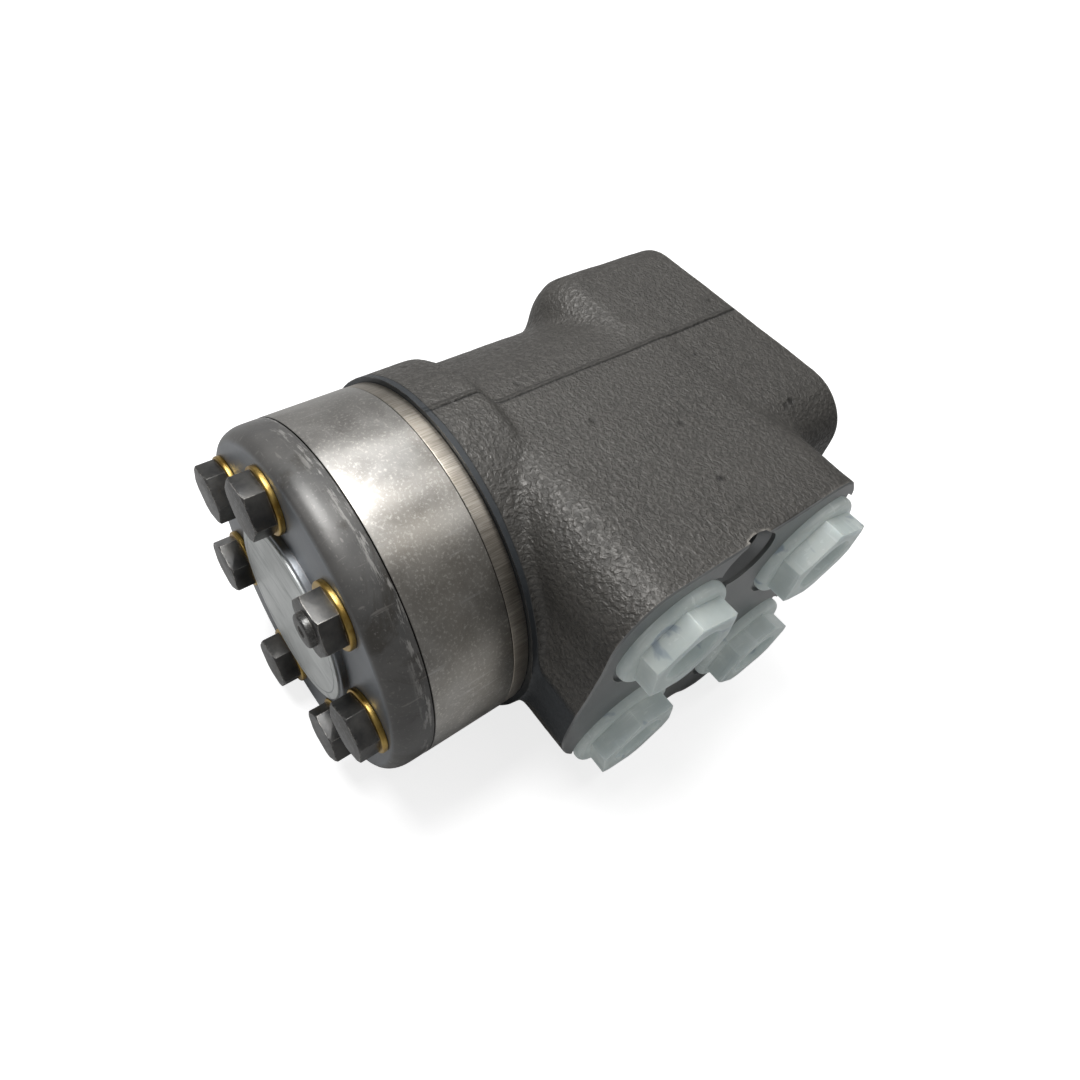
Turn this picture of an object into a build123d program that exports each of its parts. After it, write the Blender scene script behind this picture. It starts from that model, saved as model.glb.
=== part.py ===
from build123d import *
from math import atan2, cos, hypot, pi, radians, sin, sqrt
import os

# Orbital steering unit, in millimetres.
# Origin: centre of the machined face that bolts to the steering column.
# +Y leaves that face towards the column, +X leaves the port face, +Z is up.
# A depth is measured from the column face towards the end cover, along -Y.

os.makedirs("parts", exist_ok=True)

# ---------------------------------------------------------------- fits
running_gap = 0.05          # radial, between pieces that turn in each other
slip_gap = 0.03             # radial, between pieces put together by hand
face_gap = 0.05             # axial, between a turning face and a fixed one
spline_gap = 0.3            # on each flank of the drive shaft's crowned splines

# ---------------------------------------------------------------- casting
housing_length = 100.2
flange_width = 88.0
flange_corner = 14.8
flange_depth = 44.0
flange_back_round = 11.0
collar_r = 47.0
collar_step = 3.4           # of the collar's radius over the neck's
collar_length = 16.8
collar_edge = 2.4
block_width = 88.0
block_setback = 3.7         # of the block's end behind the face that carries the gear set
block_start = 15.5
block_corner = 14.0
port_face_x = 60.8
port_edge = 1.0

# ---------------------------------------------------------------- bore and seals
bore_r = 19.0
mouth_r = 21.0
mouth_depth = 5.0
shoulder_end = 11.0
shoulder_gap = 0.4
seal_groove_start = 6.5
seal_groove_width = 3.0
seal_groove_r = 17.2
dust_seal_width = 4.4
dust_lip = 1.0

# ---------------------------------------------------------------- gear set stack
stack_r = 45.0
plate_thickness = 4.3
ring_width = 21.5
cover_thickness = 9.6
cover_edge = 2.4
cover_boss_r = 24.6
cover_boss_height = 1.7
name_plate_r = 23.3
name_plate_thickness = 0.5
plate_bore_r = 13.2

# ---------------------------------------------------------------- cover bolts, M8
lobe_count = 7
bolt_circle_r = 33.8
bolt_r = 4.0
bolt_hole_r = 4.3
bolt_length = 50.0
bolt_flats = 13.0
bolt_head_height = 5.3
bolt_head_chamfer = 0.9
dog_position = 1            # which bolt carries the round dog on its head
dog_r = 3.3
dog_height = 1.6
dog_taper = 12.0
bolt_crown_taper = 50.0
bolt_turns = (27.0, 59.0, 5.0, 17.0, 40.0, 8.0, 50.0)   # how far each head is turned
washer_r = 8.0
washer_thickness = 1.5
tapped_spare = 3.0

# ---------------------------------------------------------------- O-rings
o_ring_r = 41.3
o_ring_section_r = 0.85
o_ring_groove_width = 2.2
o_ring_groove_depth = 1.75

# ---------------------------------------------------------------- rotor and ring profile
rotor_teeth = 6
lobe_circle_r = 31.0
lobe_r = 7.5
eccentricity = 3.3
mesh_gap = 0.08
tip_gap = 0.15
arcs_per_tooth = 12
timing_hole_r = 2.2
timing_circle_r = 26.6
timing_depth = 13.0

# ---------------------------------------------------------------- ports
port_pitch_y = 47.1
port_pitch_z = 45.0
port_first_depth = 28.7
port_core_r = 9.5
port_thread_depth = 15.0
spot_face_r = 16.6
spot_face_depth = 1.0
gallery_r = 2.6
gallery_offset = 4.0
bore_groove_r = 24.0
bore_groove_width = 5.0
pilot_depth = 57.5
pilot_z = 36.4
pilot_core_r = 5.9
pilot_mouth_r = 7.2
pilot_length = 12.0

# ---------------------------------------------------------------- port plugs
plug_flange_r = 15.4
plug_flange_thickness = 3.0
plug_flange_round = 1.6
plug_flats = 23.0
plug_hex_height = 5.4
plug_shank_length = 11.0
plug_hollow_r = 7.6
plug_hollow_depth = 12.0
plug_turns = (42.3, 44.6, 40.4, 20.7)   # how far each plug's hexagon is turned

# ---------------------------------------------------------------- column bolts, M10
column_pcd = 82.5
column_tap_r = 4.25
column_tap_depth = 16.0

# ---------------------------------------------------------------- thrust bearing
outer_race_thickness = 2.0
inner_race_thickness = 1.9
race_r = 18.7
race_bore_gap = 0.3
needle_count = 18
needle_r = 0.97
needle_length = 3.0
cage_thickness = 1.5
cage_gap = 0.1
needle_space = 2.0

# ---------------------------------------------------------------- sleeve and spool
sleeve_wall = 4.9
spool_r = 14.0
spool_front = 0.8
spool_setback = 8.2         # of the spool's end inside the housing
spool_bore_r = 10.5
sleeve_hole_r = 1.5
sleeve_hole_count = 6
flute_count = 6
flute_width = 3.0
flute_depth = 1.3
flute_land = 4.0            # between the pin holes and the flutes
spool_end_land = 6.0
groove_margin = 0.5         # of an annular groove on each side of its holes
first_hole_angle = 30.0
spool_groove_depth = 1.2
centring_travel = 8.0       # degrees, spool in sleeve, each way

# ---------------------------------------------------------------- centring springs
spring_start = 21.5
spring_width = 6.6
spring_thickness = 0.45
spring_span_gap = 0.1
spring_bow = 0.96           # how far a bowed leaf's middle comes in from its ends
spring_leaf_gap = 0.02
spring_end_z = 1.7
spring_ring_wall = 1.7
spring_ring_length = 9.0
spring_ring_gap = 0.1
window_margin = 0.3

# ---------------------------------------------------------------- cross pin, drive shaft
pin_depth = 48.0
pin_r = 4.0
pin_end_gap = 0.3
edge_break = 0.5
fork_r = 9.4
fork_reach = 6.0
fork_slot_gap = 0.15
fork_slot_root = 0.5        # past the pin, at the bottom of the slot
fork_root = 4.0             # solid length behind the slot
shaft_r = 6.6
spline_teeth = 12
spline_root_r = 9.4
spline_tip_r = 11.0
spline_base_width = 3.0
spline_side_angle = 66.0
spline_overrun = 0.3        # of a spline's outline into the round body it joins or cuts
head_length = 12.0
head_crown_r = 26.0
crown_overrun = 0.5         # of the crowned outline past each end of the head
shank_overlap = 1.0         # of the shank into the head
input_spline_length = 17.0
spacer_r = 8.4
spacer_gap = 0.6

# ---------------------------------------------------------------- check valve
check_ball_r = 3.5
check_seat_r = 2.4
check_travel = 1.5
check_bush_r = 5.0
check_bush_length = 6.5
check_bush_hex = 5.0
check_chamber_r = 3.9

# ================================================================ derived places
plate_start = housing_length
ring_start = plate_start + plate_thickness
cover_start = ring_start + ring_width
cover_end = cover_start + cover_thickness
lobe_turn = 360 / lobe_count
rotor_middle = ring_start + ring_width / 2
valley_r = lobe_circle_r + 2 * eccentricity - lobe_r + tip_gap
sleeve_r = bore_r - running_gap
sleeve_bore_r = spool_r + running_gap
race_start = shoulder_end
needle_middle = race_start + outer_race_thickness + needle_space / 2
inner_race_start = race_start + outer_race_thickness + needle_space
sleeve_start = inner_race_start + inner_race_thickness
sleeve_end = housing_length - face_gap
neck_r = collar_r - collar_step
block_length = housing_length - block_setback - block_start
spool_back = housing_length - spool_setback
port_depths = (port_first_depth + port_pitch_y, port_first_depth)
port_sides = (port_pitch_z / 2, -port_pitch_z / 2)
spot_face_x = port_face_x - spot_face_depth
thread_end_x = spot_face_x - port_thread_depth
bush_end_x = thread_end_x - check_bush_length
seat_reach = sqrt(check_ball_r**2 - check_seat_r**2)
ball_x = bush_end_x - seat_reach - face_gap
chamber_length = 2 * seat_reach + check_travel + 3 * face_gap
spring_ring_r = sleeve_r - spring_ring_gap
spring_ring_start = spring_start + spring_width / 2 - spring_ring_length / 2
spring_seat_r = spring_ring_r - spring_ring_wall - slip_gap


def across(depth):
    """A plane square to the main axis: local x is X, local y is Z, normal is -Y."""
    return Plane.XZ.offset(depth)


def ring_of(outer_r, inner_r, start, length):
    """Add a plain ring to the part being built."""
    with BuildSketch(across(start)) as outline:
        Circle(outer_r)
        Circle(inner_r, mode=Mode.SUBTRACT)
    extrude(outline.sketch, amount=length)


def bore_out(radius, start, length):
    """Cut a round hole on the main axis from the part being built."""
    with BuildSketch(across(start)) as outline:
        Circle(radius)
    extrude(outline.sketch, amount=length, mode=Mode.SUBTRACT)


def finish(builder, name):
    """Label a finished piece and write it."""
    builder.part.label = name
    export_step(builder.part, f"parts/{name}.step")


# Each port: its depth, its Z, and the depth of the gallery that feeds it.
ports = [
    (depth, side, depth + (gallery_offset if side > 0 else -gallery_offset))
    for depth in port_depths
    for side in port_sides
]

# ================================================================ housing
with BuildPart() as housing:
    # square flange towards the column, its back rounded down into the neck
    with BuildSketch(across(0)):
        RectangleRounded(flange_width, flange_width, flange_corner)
    extrude(amount=flange_depth)
    fillet(housing.faces().sort_by(Axis.Y)[0].edges(), flange_back_round)
    # round neck
    with BuildSketch(across(0)):
        Circle(neck_r)
    extrude(amount=housing_length)
    # port block, with its upright corners rounded
    with BuildSketch(Plane.YZ):
        with Locations((-(block_start + block_length / 2), 0)):
            RectangleRounded(block_length, block_width, block_corner)
    extrude(amount=port_face_x)
    chamfer(housing.faces().sort_by(Axis.X)[-1].edges(), port_edge)
    # collar that carries the gear set
    with BuildSketch(across(housing_length - collar_length)):
        Circle(collar_r)
    extrude(amount=collar_length)
    collar_rims = housing.edges().filter_by(GeomType.CIRCLE)
    collar_rims = collar_rims.filter_by(lambda e: abs(e.radius - collar_r) < 0.01)
    fillet(collar_rims.group_by(Axis.Y)[0], collar_edge)
    # main bore, mouth, shoulder and seal groove
    bore_out(bore_r, shoulder_end, housing_length - shoulder_end)
    bore_out(mouth_r, 0, mouth_depth)
    bore_out(spool_r + shoulder_gap, 0, shoulder_end)
    bore_out(seal_groove_r, seal_groove_start, seal_groove_width)
    # one ring groove in the bore for each port
    for port_depth, port_z, gallery_depth in ports:
        bore_out(bore_groove_r, gallery_depth - bore_groove_width / 2, bore_groove_width)
    # tapped holes for the gear set's bolts
    tapped_depth = bolt_length - cover_thickness - ring_width - plate_thickness + tapped_spare
    with BuildSketch(across(housing_length - tapped_depth)):
        with PolarLocations(bolt_circle_r, lobe_count):
            Circle(bolt_r + slip_gap)
    extrude(amount=tapped_depth, mode=Mode.SUBTRACT)
    # timing channels, drilled along the axis
    with BuildSketch(across(housing_length - timing_depth)):
        with PolarLocations(timing_circle_r, lobe_count, start_angle=lobe_turn / 2):
            Circle(timing_hole_r)
    extrude(amount=timing_depth, mode=Mode.SUBTRACT)
    # face groove for the O-ring
    with BuildSketch(across(housing_length - o_ring_groove_depth)):
        Circle(o_ring_r + o_ring_groove_width / 2)
        Circle(o_ring_r - o_ring_groove_width / 2, mode=Mode.SUBTRACT)
    extrude(amount=o_ring_groove_depth, mode=Mode.SUBTRACT)
    # spot faces, tapped ports and their galleries
    for port_depth, port_z, gallery_depth in ports:
        with BuildSketch(Plane.YZ.offset(spot_face_x)):
            with Locations((-port_depth, port_z)):
                Circle(spot_face_r)
        extrude(amount=spot_face_depth, mode=Mode.SUBTRACT)
        with BuildSketch(Plane.YZ.offset(thread_end_x)):
            with Locations((-port_depth, port_z)):
                Circle(port_core_r)
        extrude(amount=port_thread_depth, mode=Mode.SUBTRACT)
        with BuildSketch(Plane.YZ):
            with Locations((-gallery_depth, port_z)):
                Circle(gallery_r)
        extrude(amount=thread_end_x, mode=Mode.SUBTRACT)
    # chamber and bush seat of the check valve, in the first port
    valve_place = (-ports[0][2], ports[0][1])
    with BuildSketch(Plane.YZ.offset(bush_end_x)):
        with Locations(valve_place):
            Circle(check_bush_r + slip_gap)
    extrude(amount=check_bush_length, mode=Mode.SUBTRACT)
    with BuildSketch(Plane.YZ.offset(bush_end_x - chamber_length)):
        with Locations(valve_place):
            Circle(check_chamber_r)
    extrude(amount=chamber_length, mode=Mode.SUBTRACT)
    # open pilot port, close to the upper edge
    with BuildSketch(Plane.YZ.offset(port_face_x - pilot_length)):
        with Locations((-pilot_depth, pilot_z)):
            Circle(pilot_core_r)
    extrude(amount=pilot_length, mode=Mode.SUBTRACT)
    pilot_chamfer = pilot_mouth_r - pilot_core_r
    with BuildSketch(Plane.YZ.offset(port_face_x)):
        with Locations((-pilot_depth, pilot_z)):
            Circle(pilot_mouth_r)
    extrude(amount=-pilot_chamfer, taper=45, mode=Mode.SUBTRACT)
    # tapped holes for the column
    with BuildSketch(across(0)):
        with PolarLocations(column_pcd / 2, 4, start_angle=45):
            Circle(column_tap_r)
    extrude(amount=column_tap_depth, mode=Mode.SUBTRACT)
finish(housing, "housing")

# ================================================================ distributor plate
with BuildPart() as distributor_plate:
    with BuildSketch(across(plate_start)):
        Circle(stack_r)
        Circle(plate_bore_r, mode=Mode.SUBTRACT)
        with PolarLocations(bolt_circle_r, lobe_count):
            Circle(bolt_hole_r, mode=Mode.SUBTRACT)
        with PolarLocations(timing_circle_r, lobe_count, start_angle=lobe_turn / 2):
            Circle(timing_hole_r, mode=Mode.SUBTRACT)
    extrude(amount=plate_thickness)
finish(distributor_plate, "distributor_plate")

# ================================================================ gear ring
with BuildPart() as gear_ring:
    with BuildSketch(across(ring_start)):
        Circle(stack_r)
        with BuildSketch(mode=Mode.SUBTRACT):
            Circle(valley_r)
            with PolarLocations(lobe_circle_r, lobe_count):
                Circle(lobe_r, mode=Mode.SUBTRACT)
        with PolarLocations(bolt_circle_r, lobe_count):
            Circle(bolt_hole_r, mode=Mode.SUBTRACT)
    extrude(amount=ring_width)
    for groove_start in (ring_start, cover_start - o_ring_groove_depth):
        with BuildSketch(across(groove_start)):
            Circle(o_ring_r + o_ring_groove_width / 2)
            Circle(o_ring_r - o_ring_groove_width / 2, mode=Mode.SUBTRACT)
        extrude(amount=o_ring_groove_depth, mode=Mode.SUBTRACT)
finish(gear_ring, "gear_ring")


# ================================================================ rotor
def rotor_point(turn):
    """A point of the rotor at rest: the path of a ring lobe's centre, moved in by the lobe."""
    path_x = lobe_circle_r * cos(turn) - eccentricity * cos(lobe_count * turn)
    path_y = lobe_circle_r * sin(turn) - eccentricity * sin(lobe_count * turn)
    along_x = -lobe_circle_r * sin(turn) + lobe_count * eccentricity * sin(lobe_count * turn)
    along_y = lobe_circle_r * cos(turn) - lobe_count * eccentricity * cos(lobe_count * turn)
    inward = (lobe_r + mesh_gap) / hypot(along_x, along_y)
    return (path_x - along_y * inward + eccentricity, path_y + along_x * inward)


arc_count = rotor_teeth * arcs_per_tooth
arc_turn = 2 * pi / arc_count

with BuildPart() as rotor:
    with BuildSketch(across(ring_start + face_gap)):
        with BuildLine():
            for arc in range(arc_count):
                ThreePointArc(*[rotor_point((arc + part) * arc_turn) for part in (0, 0.5, 1)])
        make_face()
    extrude(amount=ring_width - 2 * face_gap)
    with BuildSketch(across(ring_start + face_gap)):
        with Locations((eccentricity, 0)):
            Circle(spline_root_r + spline_gap)
            with PolarLocations(spline_root_r, spline_teeth):
                Trapezoid(
                    spline_base_width + 2 * spline_gap,
                    spline_tip_r - spline_root_r + spline_gap,
                    spline_side_angle,
                    rotation=-90,
                    align=(Align.CENTER, Align.MIN),
                )
    extrude(amount=ring_width - 2 * face_gap, mode=Mode.SUBTRACT)
finish(rotor, "rotor")

# ================================================================ end cover
with BuildPart() as end_cover:
    with BuildSketch(across(cover_start)):
        Circle(stack_r)
    extrude(amount=cover_thickness)
    fillet(end_cover.faces().sort_by(Axis.Y)[0].edges(), cover_edge)
    with BuildSketch(across(cover_end)):
        Circle(cover_boss_r)
    extrude(amount=cover_boss_height)
    with BuildSketch(across(cover_start)):
        with PolarLocations(bolt_circle_r, lobe_count):
            Circle(bolt_hole_r)
    extrude(amount=cover_thickness, mode=Mode.SUBTRACT)
finish(end_cover, "end_cover")

with BuildPart() as name_plate:
    with BuildSketch(across(cover_end + cover_boss_height)):
        Circle(name_plate_r)
    extrude(amount=name_plate_thickness)
finish(name_plate, "name_plate")

# ================================================================ cover bolts and washers
head_start = cover_end + washer_thickness
bolt_tip = head_start - bolt_length
hexagon_corner_r = bolt_flats / sqrt(3)


def cover_bolt(number, with_dog):
    """Add one hexagon-headed bolt of the bolt circle to the part being built."""
    bolt_turn = radians(number * lobe_turn)
    place = (bolt_circle_r * cos(bolt_turn), bolt_circle_r * sin(bolt_turn))
    with BuildSketch(across(bolt_tip)) as shank:
        with Locations(place):
            Circle(bolt_r)
    extrude(shank.sketch, amount=bolt_length)
    with BuildSketch(across(head_start)) as head:
        with Locations(place):
            RegularPolygon(hexagon_corner_r, 6, rotation=bolt_turns[number])
    extrude(head.sketch, amount=bolt_head_height - bolt_head_chamfer)
    with BuildSketch(across(head_start + bolt_head_height - bolt_head_chamfer)) as crown:
        with Locations(place):
            Circle(hexagon_corner_r)
    with BuildSketch(across(head_start + bolt_head_height - bolt_head_chamfer)) as top:
        with Locations(place):
            RegularPolygon(hexagon_corner_r, 6, rotation=bolt_turns[number])
    cone = extrude(crown.sketch, amount=bolt_head_chamfer, taper=bolt_crown_taper, mode=Mode.PRIVATE)
    prism = extrude(top.sketch, amount=bolt_head_chamfer, mode=Mode.PRIVATE)
    add(cone & prism)
    if with_dog:
        with BuildSketch(across(head_start + bolt_head_height)) as dog:
            with Locations(place):
                Circle(dog_r)
        extrude(dog.sketch, amount=dog_height, taper=dog_taper)


with BuildPart() as cover_bolts:
    for bolt_number in range(lobe_count):
        if bolt_number != dog_position:
            cover_bolt(bolt_number, with_dog=False)
finish(cover_bolts, "cover_bolts")

with BuildPart() as dog_bolt:
    cover_bolt(dog_position, with_dog=True)
finish(dog_bolt, "dog_bolt")

with BuildPart() as sealing_washers:
    with BuildSketch(across(cover_end)):
        with PolarLocations(bolt_circle_r, lobe_count):
            Circle(washer_r)
        with PolarLocations(bolt_circle_r, lobe_count):
            Circle(bolt_r + slip_gap, mode=Mode.SUBTRACT)
    extrude(amount=washer_thickness)
finish(sealing_washers, "sealing_washers")

# ================================================================ O-rings
o_ring_places = {
    "o_ring_housing": plate_start - o_ring_groove_depth / 2,
    "o_ring_plate": ring_start + o_ring_groove_depth / 2,
    "o_ring_cover": cover_start - o_ring_groove_depth / 2,
}
for ring_name, ring_depth in o_ring_places.items():
    with BuildPart() as o_ring:
        with BuildSketch(Plane.XY):
            with Locations((o_ring_r, -ring_depth)):
                Circle(o_ring_section_r)
        revolve(axis=Axis.Y)
    finish(o_ring, ring_name)

# ================================================================ seals at the column end
with BuildPart() as dust_seal:
    ring_of(mouth_r - slip_gap, spool_r + running_gap, mouth_depth - dust_seal_width, dust_seal_width)
    dust_rim = dust_seal.edges().filter_by(GeomType.CIRCLE).group_by(Axis.Y)[-1]
    chamfer(dust_rim.sort_by(SortBy.LENGTH)[0], dust_lip)
finish(dust_seal, "dust_seal")

with BuildPart() as shaft_seal:
    ring_of(
        seal_groove_r - slip_gap,
        spool_r + running_gap,
        seal_groove_start + face_gap,
        seal_groove_width - 2 * face_gap,
    )
finish(shaft_seal, "shaft_seal")

# ================================================================ thrust bearing
race_bore_r = spool_r + race_bore_gap
cage_outer_r = race_r - cage_gap
cage_inner_r = race_bore_r + cage_gap
needle_centre_r = (cage_outer_r + cage_inner_r) / 2

with BuildPart() as bearing_outer_race:
    ring_of(race_r, race_bore_r, race_start, outer_race_thickness)
finish(bearing_outer_race, "bearing_outer_race")

with BuildPart() as bearing_inner_race:
    ring_of(race_r, race_bore_r, inner_race_start, inner_race_thickness)
finish(bearing_inner_race, "bearing_inner_race")

with BuildPart() as needle_cage:
    ring_of(cage_outer_r, cage_inner_r, needle_middle - cage_thickness / 2, cage_thickness)
    with BuildSketch(across(needle_middle - cage_thickness / 2)):
        with PolarLocations(needle_centre_r, needle_count):
            Rectangle(needle_length + 2 * slip_gap, 2 * (needle_r + slip_gap))
    extrude(amount=cage_thickness, mode=Mode.SUBTRACT)
finish(needle_cage, "needle_cage")

with BuildPart() as bearing_needles:
    with Locations(across(needle_middle)):
        with PolarLocations(needle_centre_r, needle_count):
            Cylinder(needle_r, needle_length, rotation=(0, 90, 0))
finish(bearing_needles, "bearing_needles")

# ================================================================ sleeve
window_length = spring_width + 2 * window_margin
window_start = spring_start - window_margin
sleeve_window = 2 * (spring_end_z + spring_thickness + window_margin)
groove_depths = [gallery_depth for port_depth, port_z, gallery_depth in ports]

with BuildPart() as sleeve:
    ring_of(sleeve_r, sleeve_bore_r, sleeve_start, sleeve_end - sleeve_start)
    # neck that the spring ring slides over
    ring_recess_length = spring_ring_length + 2 * face_gap
    with BuildSketch(across(spring_ring_start - face_gap)):
        Circle(bore_r)
        Circle(spring_seat_r, mode=Mode.SUBTRACT)
    extrude(amount=ring_recess_length, mode=Mode.SUBTRACT)
    # windows for the centring springs
    with BuildSketch(across(window_start)):
        Rectangle(2 * bore_r, sleeve_window)
    extrude(amount=window_length, mode=Mode.SUBTRACT)
    # holes for the cross pin
    with BuildSketch(Plane.YZ):
        with Locations((-pin_depth, 0)):
            Circle(pin_r + slip_gap)
    extrude(amount=bore_r, both=True, mode=Mode.SUBTRACT)
    # a row of oil holes at each groove of the bore
    for groove_depth in groove_depths:
        with Locations(across(groove_depth)):
            with PolarLocations(spool_r, sleeve_hole_count, start_angle=first_hole_angle):
                Cylinder(sleeve_hole_r, 2 * sleeve_wall, rotation=(0, 90, 0), mode=Mode.SUBTRACT)
finish(sleeve, "sleeve")

# ================================================================ spool
pin_swing = spool_r * sin(radians(centring_travel))
spool_pin_hole_r = pin_r + pin_swing + window_margin
spool_window = 2 * (spring_end_z + spring_thickness + pin_swing + window_margin)
flute_start = pin_depth + spool_pin_hole_r + flute_land
flute_length = spool_back - flute_start - spool_end_land

with BuildPart() as spool:
    with BuildSketch(across(spool_front)):
        Circle(spool_r)
        Circle(spool_bore_r, mode=Mode.SUBTRACT)
    extrude(amount=spool_back - spool_front)
    # internal splines that the column's shaft slides into
    with BuildSketch(across(spool_front)):
        Circle(spool_bore_r)
        Circle(spline_root_r, mode=Mode.SUBTRACT)
        with PolarLocations(spline_root_r - spline_overrun, spline_teeth):
            Trapezoid(
                spline_base_width,
                spool_bore_r - spline_root_r + 2 * spline_overrun,
                spline_side_angle,
                rotation=-90,
                align=(Align.CENTER, Align.MIN),
                mode=Mode.SUBTRACT,
            )
    extrude(amount=input_spline_length)
    # window for the springs and holes for the cross pin
    with BuildSketch(across(window_start)):
        Rectangle(2 * bore_r, spool_window)
    extrude(amount=window_length, mode=Mode.SUBTRACT)
    with BuildSketch(Plane.YZ):
        with Locations((-pin_depth, 0)):
            Circle(spool_pin_hole_r)
    extrude(amount=bore_r, both=True, mode=Mode.SUBTRACT)
    # metering flutes along the outside
    with BuildSketch(across(flute_start)):
        with PolarLocations(spool_r, flute_count, start_angle=first_hole_angle):
            Rectangle(2 * flute_depth, flute_width)
    extrude(amount=flute_length, mode=Mode.SUBTRACT)
    # annular groove under a row of sleeve holes
    groove_width = 2 * (sleeve_hole_r + groove_margin)
    with BuildSketch(across(groove_depths[2] - groove_width / 2)):
        Circle(bore_r)
        Circle(spool_r - spool_groove_depth, mode=Mode.SUBTRACT)
    extrude(amount=groove_width, mode=Mode.SUBTRACT)
finish(spool, "spool")

# ================================================================ cross pin and springs
with BuildPart() as cross_pin:
    with BuildSketch(Plane.YZ):
        with Locations((-pin_depth, 0)):
            Circle(pin_r)
    extrude(amount=sleeve_r - pin_end_gap, both=True)
    chamfer(cross_pin.edges(), edge_break)
finish(cross_pin, "cross_pin")

with BuildPart() as spring_ring:
    ring_of(spring_ring_r, spring_seat_r + slip_gap, spring_ring_start, spring_ring_length)
finish(spring_ring, "spring_ring")

spring_half_span = spring_seat_r - spring_span_gap
with BuildPart() as centring_springs:
    with BuildSketch(across(spring_start)):
        # two flat leaves in the middle, a bowed one on each side
        for side in (-1, 1):
            with Locations((0, side * (spring_thickness / 2 + spring_leaf_gap))):
                Rectangle(2 * spring_half_span, spring_thickness)
        with BuildLine():
            bow_z = spring_end_z - spring_bow
            inner = ThreePointArc(
                (-spring_half_span, spring_end_z), (0, bow_z), (spring_half_span, spring_end_z)
            )
            outer = ThreePointArc(
                (-spring_half_span, spring_end_z + spring_thickness),
                (0, bow_z + spring_thickness),
                (spring_half_span, spring_end_z + spring_thickness),
            )
            Line(inner @ 0, outer @ 0)
            Line(inner @ 1, outer @ 1)
        bowed_leaf = make_face()
        mirror(bowed_leaf, about=Plane.XZ)
    extrude(amount=spring_width)
finish(centring_springs, "centring_springs")

# ================================================================ drive shaft
drive_length = rotor_middle - pin_depth
tilt = atan2(eccentricity, drive_length)
drive_direction = (sin(tilt), -cos(tilt), 0)
drive_cross = (cos(tilt), sin(tilt), 0)


def drive_plane(distance):
    """A plane square to the tilted drive shaft, a distance beyond the cross pin."""
    origin = (distance * sin(tilt), -pin_depth - distance * cos(tilt), 0)
    return Plane(origin=origin, x_dir=drive_cross, z_dir=drive_direction)


head_begin = drive_length - head_length / 2
fork_length = 2 * fork_reach + fork_root
with BuildPart() as drive_shaft:
    # crowned spline head that sits in the rotor
    with BuildSketch(drive_plane(head_begin)):
        Circle(spline_root_r)
        with PolarLocations(spline_root_r - spline_overrun, spline_teeth):
            Trapezoid(
                spline_base_width,
                spline_tip_r - spline_root_r + spline_overrun,
                spline_side_angle,
                rotation=-90,
                align=(Align.CENTER, Align.MIN),
            )
    extrude(amount=head_length)
    side_plane = Plane(origin=drive_plane(drive_length).origin, x_dir=drive_cross, z_dir=(0, 0, 1))
    with BuildSketch(side_plane):
        with BuildLine():
            half = head_length / 2 + crown_overrun
            edge_r = spline_tip_r - head_crown_r + sqrt(head_crown_r**2 - half**2)
            crown = ThreePointArc((edge_r, -half), (spline_tip_r, 0), (edge_r, half))
            Polyline(crown @ 0, (0, -half), (0, half), crown @ 1)
        make_face()
    revolve(axis=Axis(side_plane.origin, drive_direction), mode=Mode.INTERSECT)
    # shank
    with BuildSketch(drive_plane(0)):
        Circle(shaft_r)
    extrude(amount=head_begin + shank_overlap)
    # fork that straddles the cross pin
    with BuildSketch(drive_plane(-fork_reach)):
        Circle(fork_r)
    extrude(amount=fork_length)
    slot_width = 2 * (pin_r + fork_slot_gap)
    with BuildSketch(drive_plane(-fork_reach)):
        Rectangle(3 * fork_r, slot_width)
    extrude(amount=fork_reach + pin_r + fork_slot_root, mode=Mode.SUBTRACT)
finish(drive_shaft, "drive_shaft")

with BuildPart() as spacer_disc:
    spacer_start = rotor_middle + head_length / 2 + spacer_gap
    with BuildSketch(across(spacer_start)):
        with Locations((eccentricity, 0)):
            Circle(spacer_r)
    extrude(amount=cover_start - 4 * face_gap - spacer_start)
    chamfer(spacer_disc.edges(), edge_break)
finish(spacer_disc, "spacer_disc")

# ================================================================ check valve in the first port
valve_depth = ports[0][2]
valve_z = ports[0][1]

with BuildPart() as check_bush:
    with BuildSketch(Plane.YZ.offset(bush_end_x)):
        with Locations((-valve_depth, valve_z)):
            Circle(check_bush_r)
            Circle(check_seat_r, mode=Mode.SUBTRACT)
    extrude(amount=check_bush_length)
    with BuildSketch(Plane.YZ.offset(thread_end_x - check_bush_length / 2)):
        with Locations((-valve_depth, valve_z)):
            RegularPolygon(check_bush_hex / 2, 6, major_radius=False)
    extrude(amount=check_bush_length / 2, mode=Mode.SUBTRACT)
finish(check_bush, "check_bush")

with BuildPart() as check_ball:
    with Locations((ball_x, -valve_depth, valve_z)):
        Sphere(check_ball_r)
finish(check_ball, "check_ball")

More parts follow.
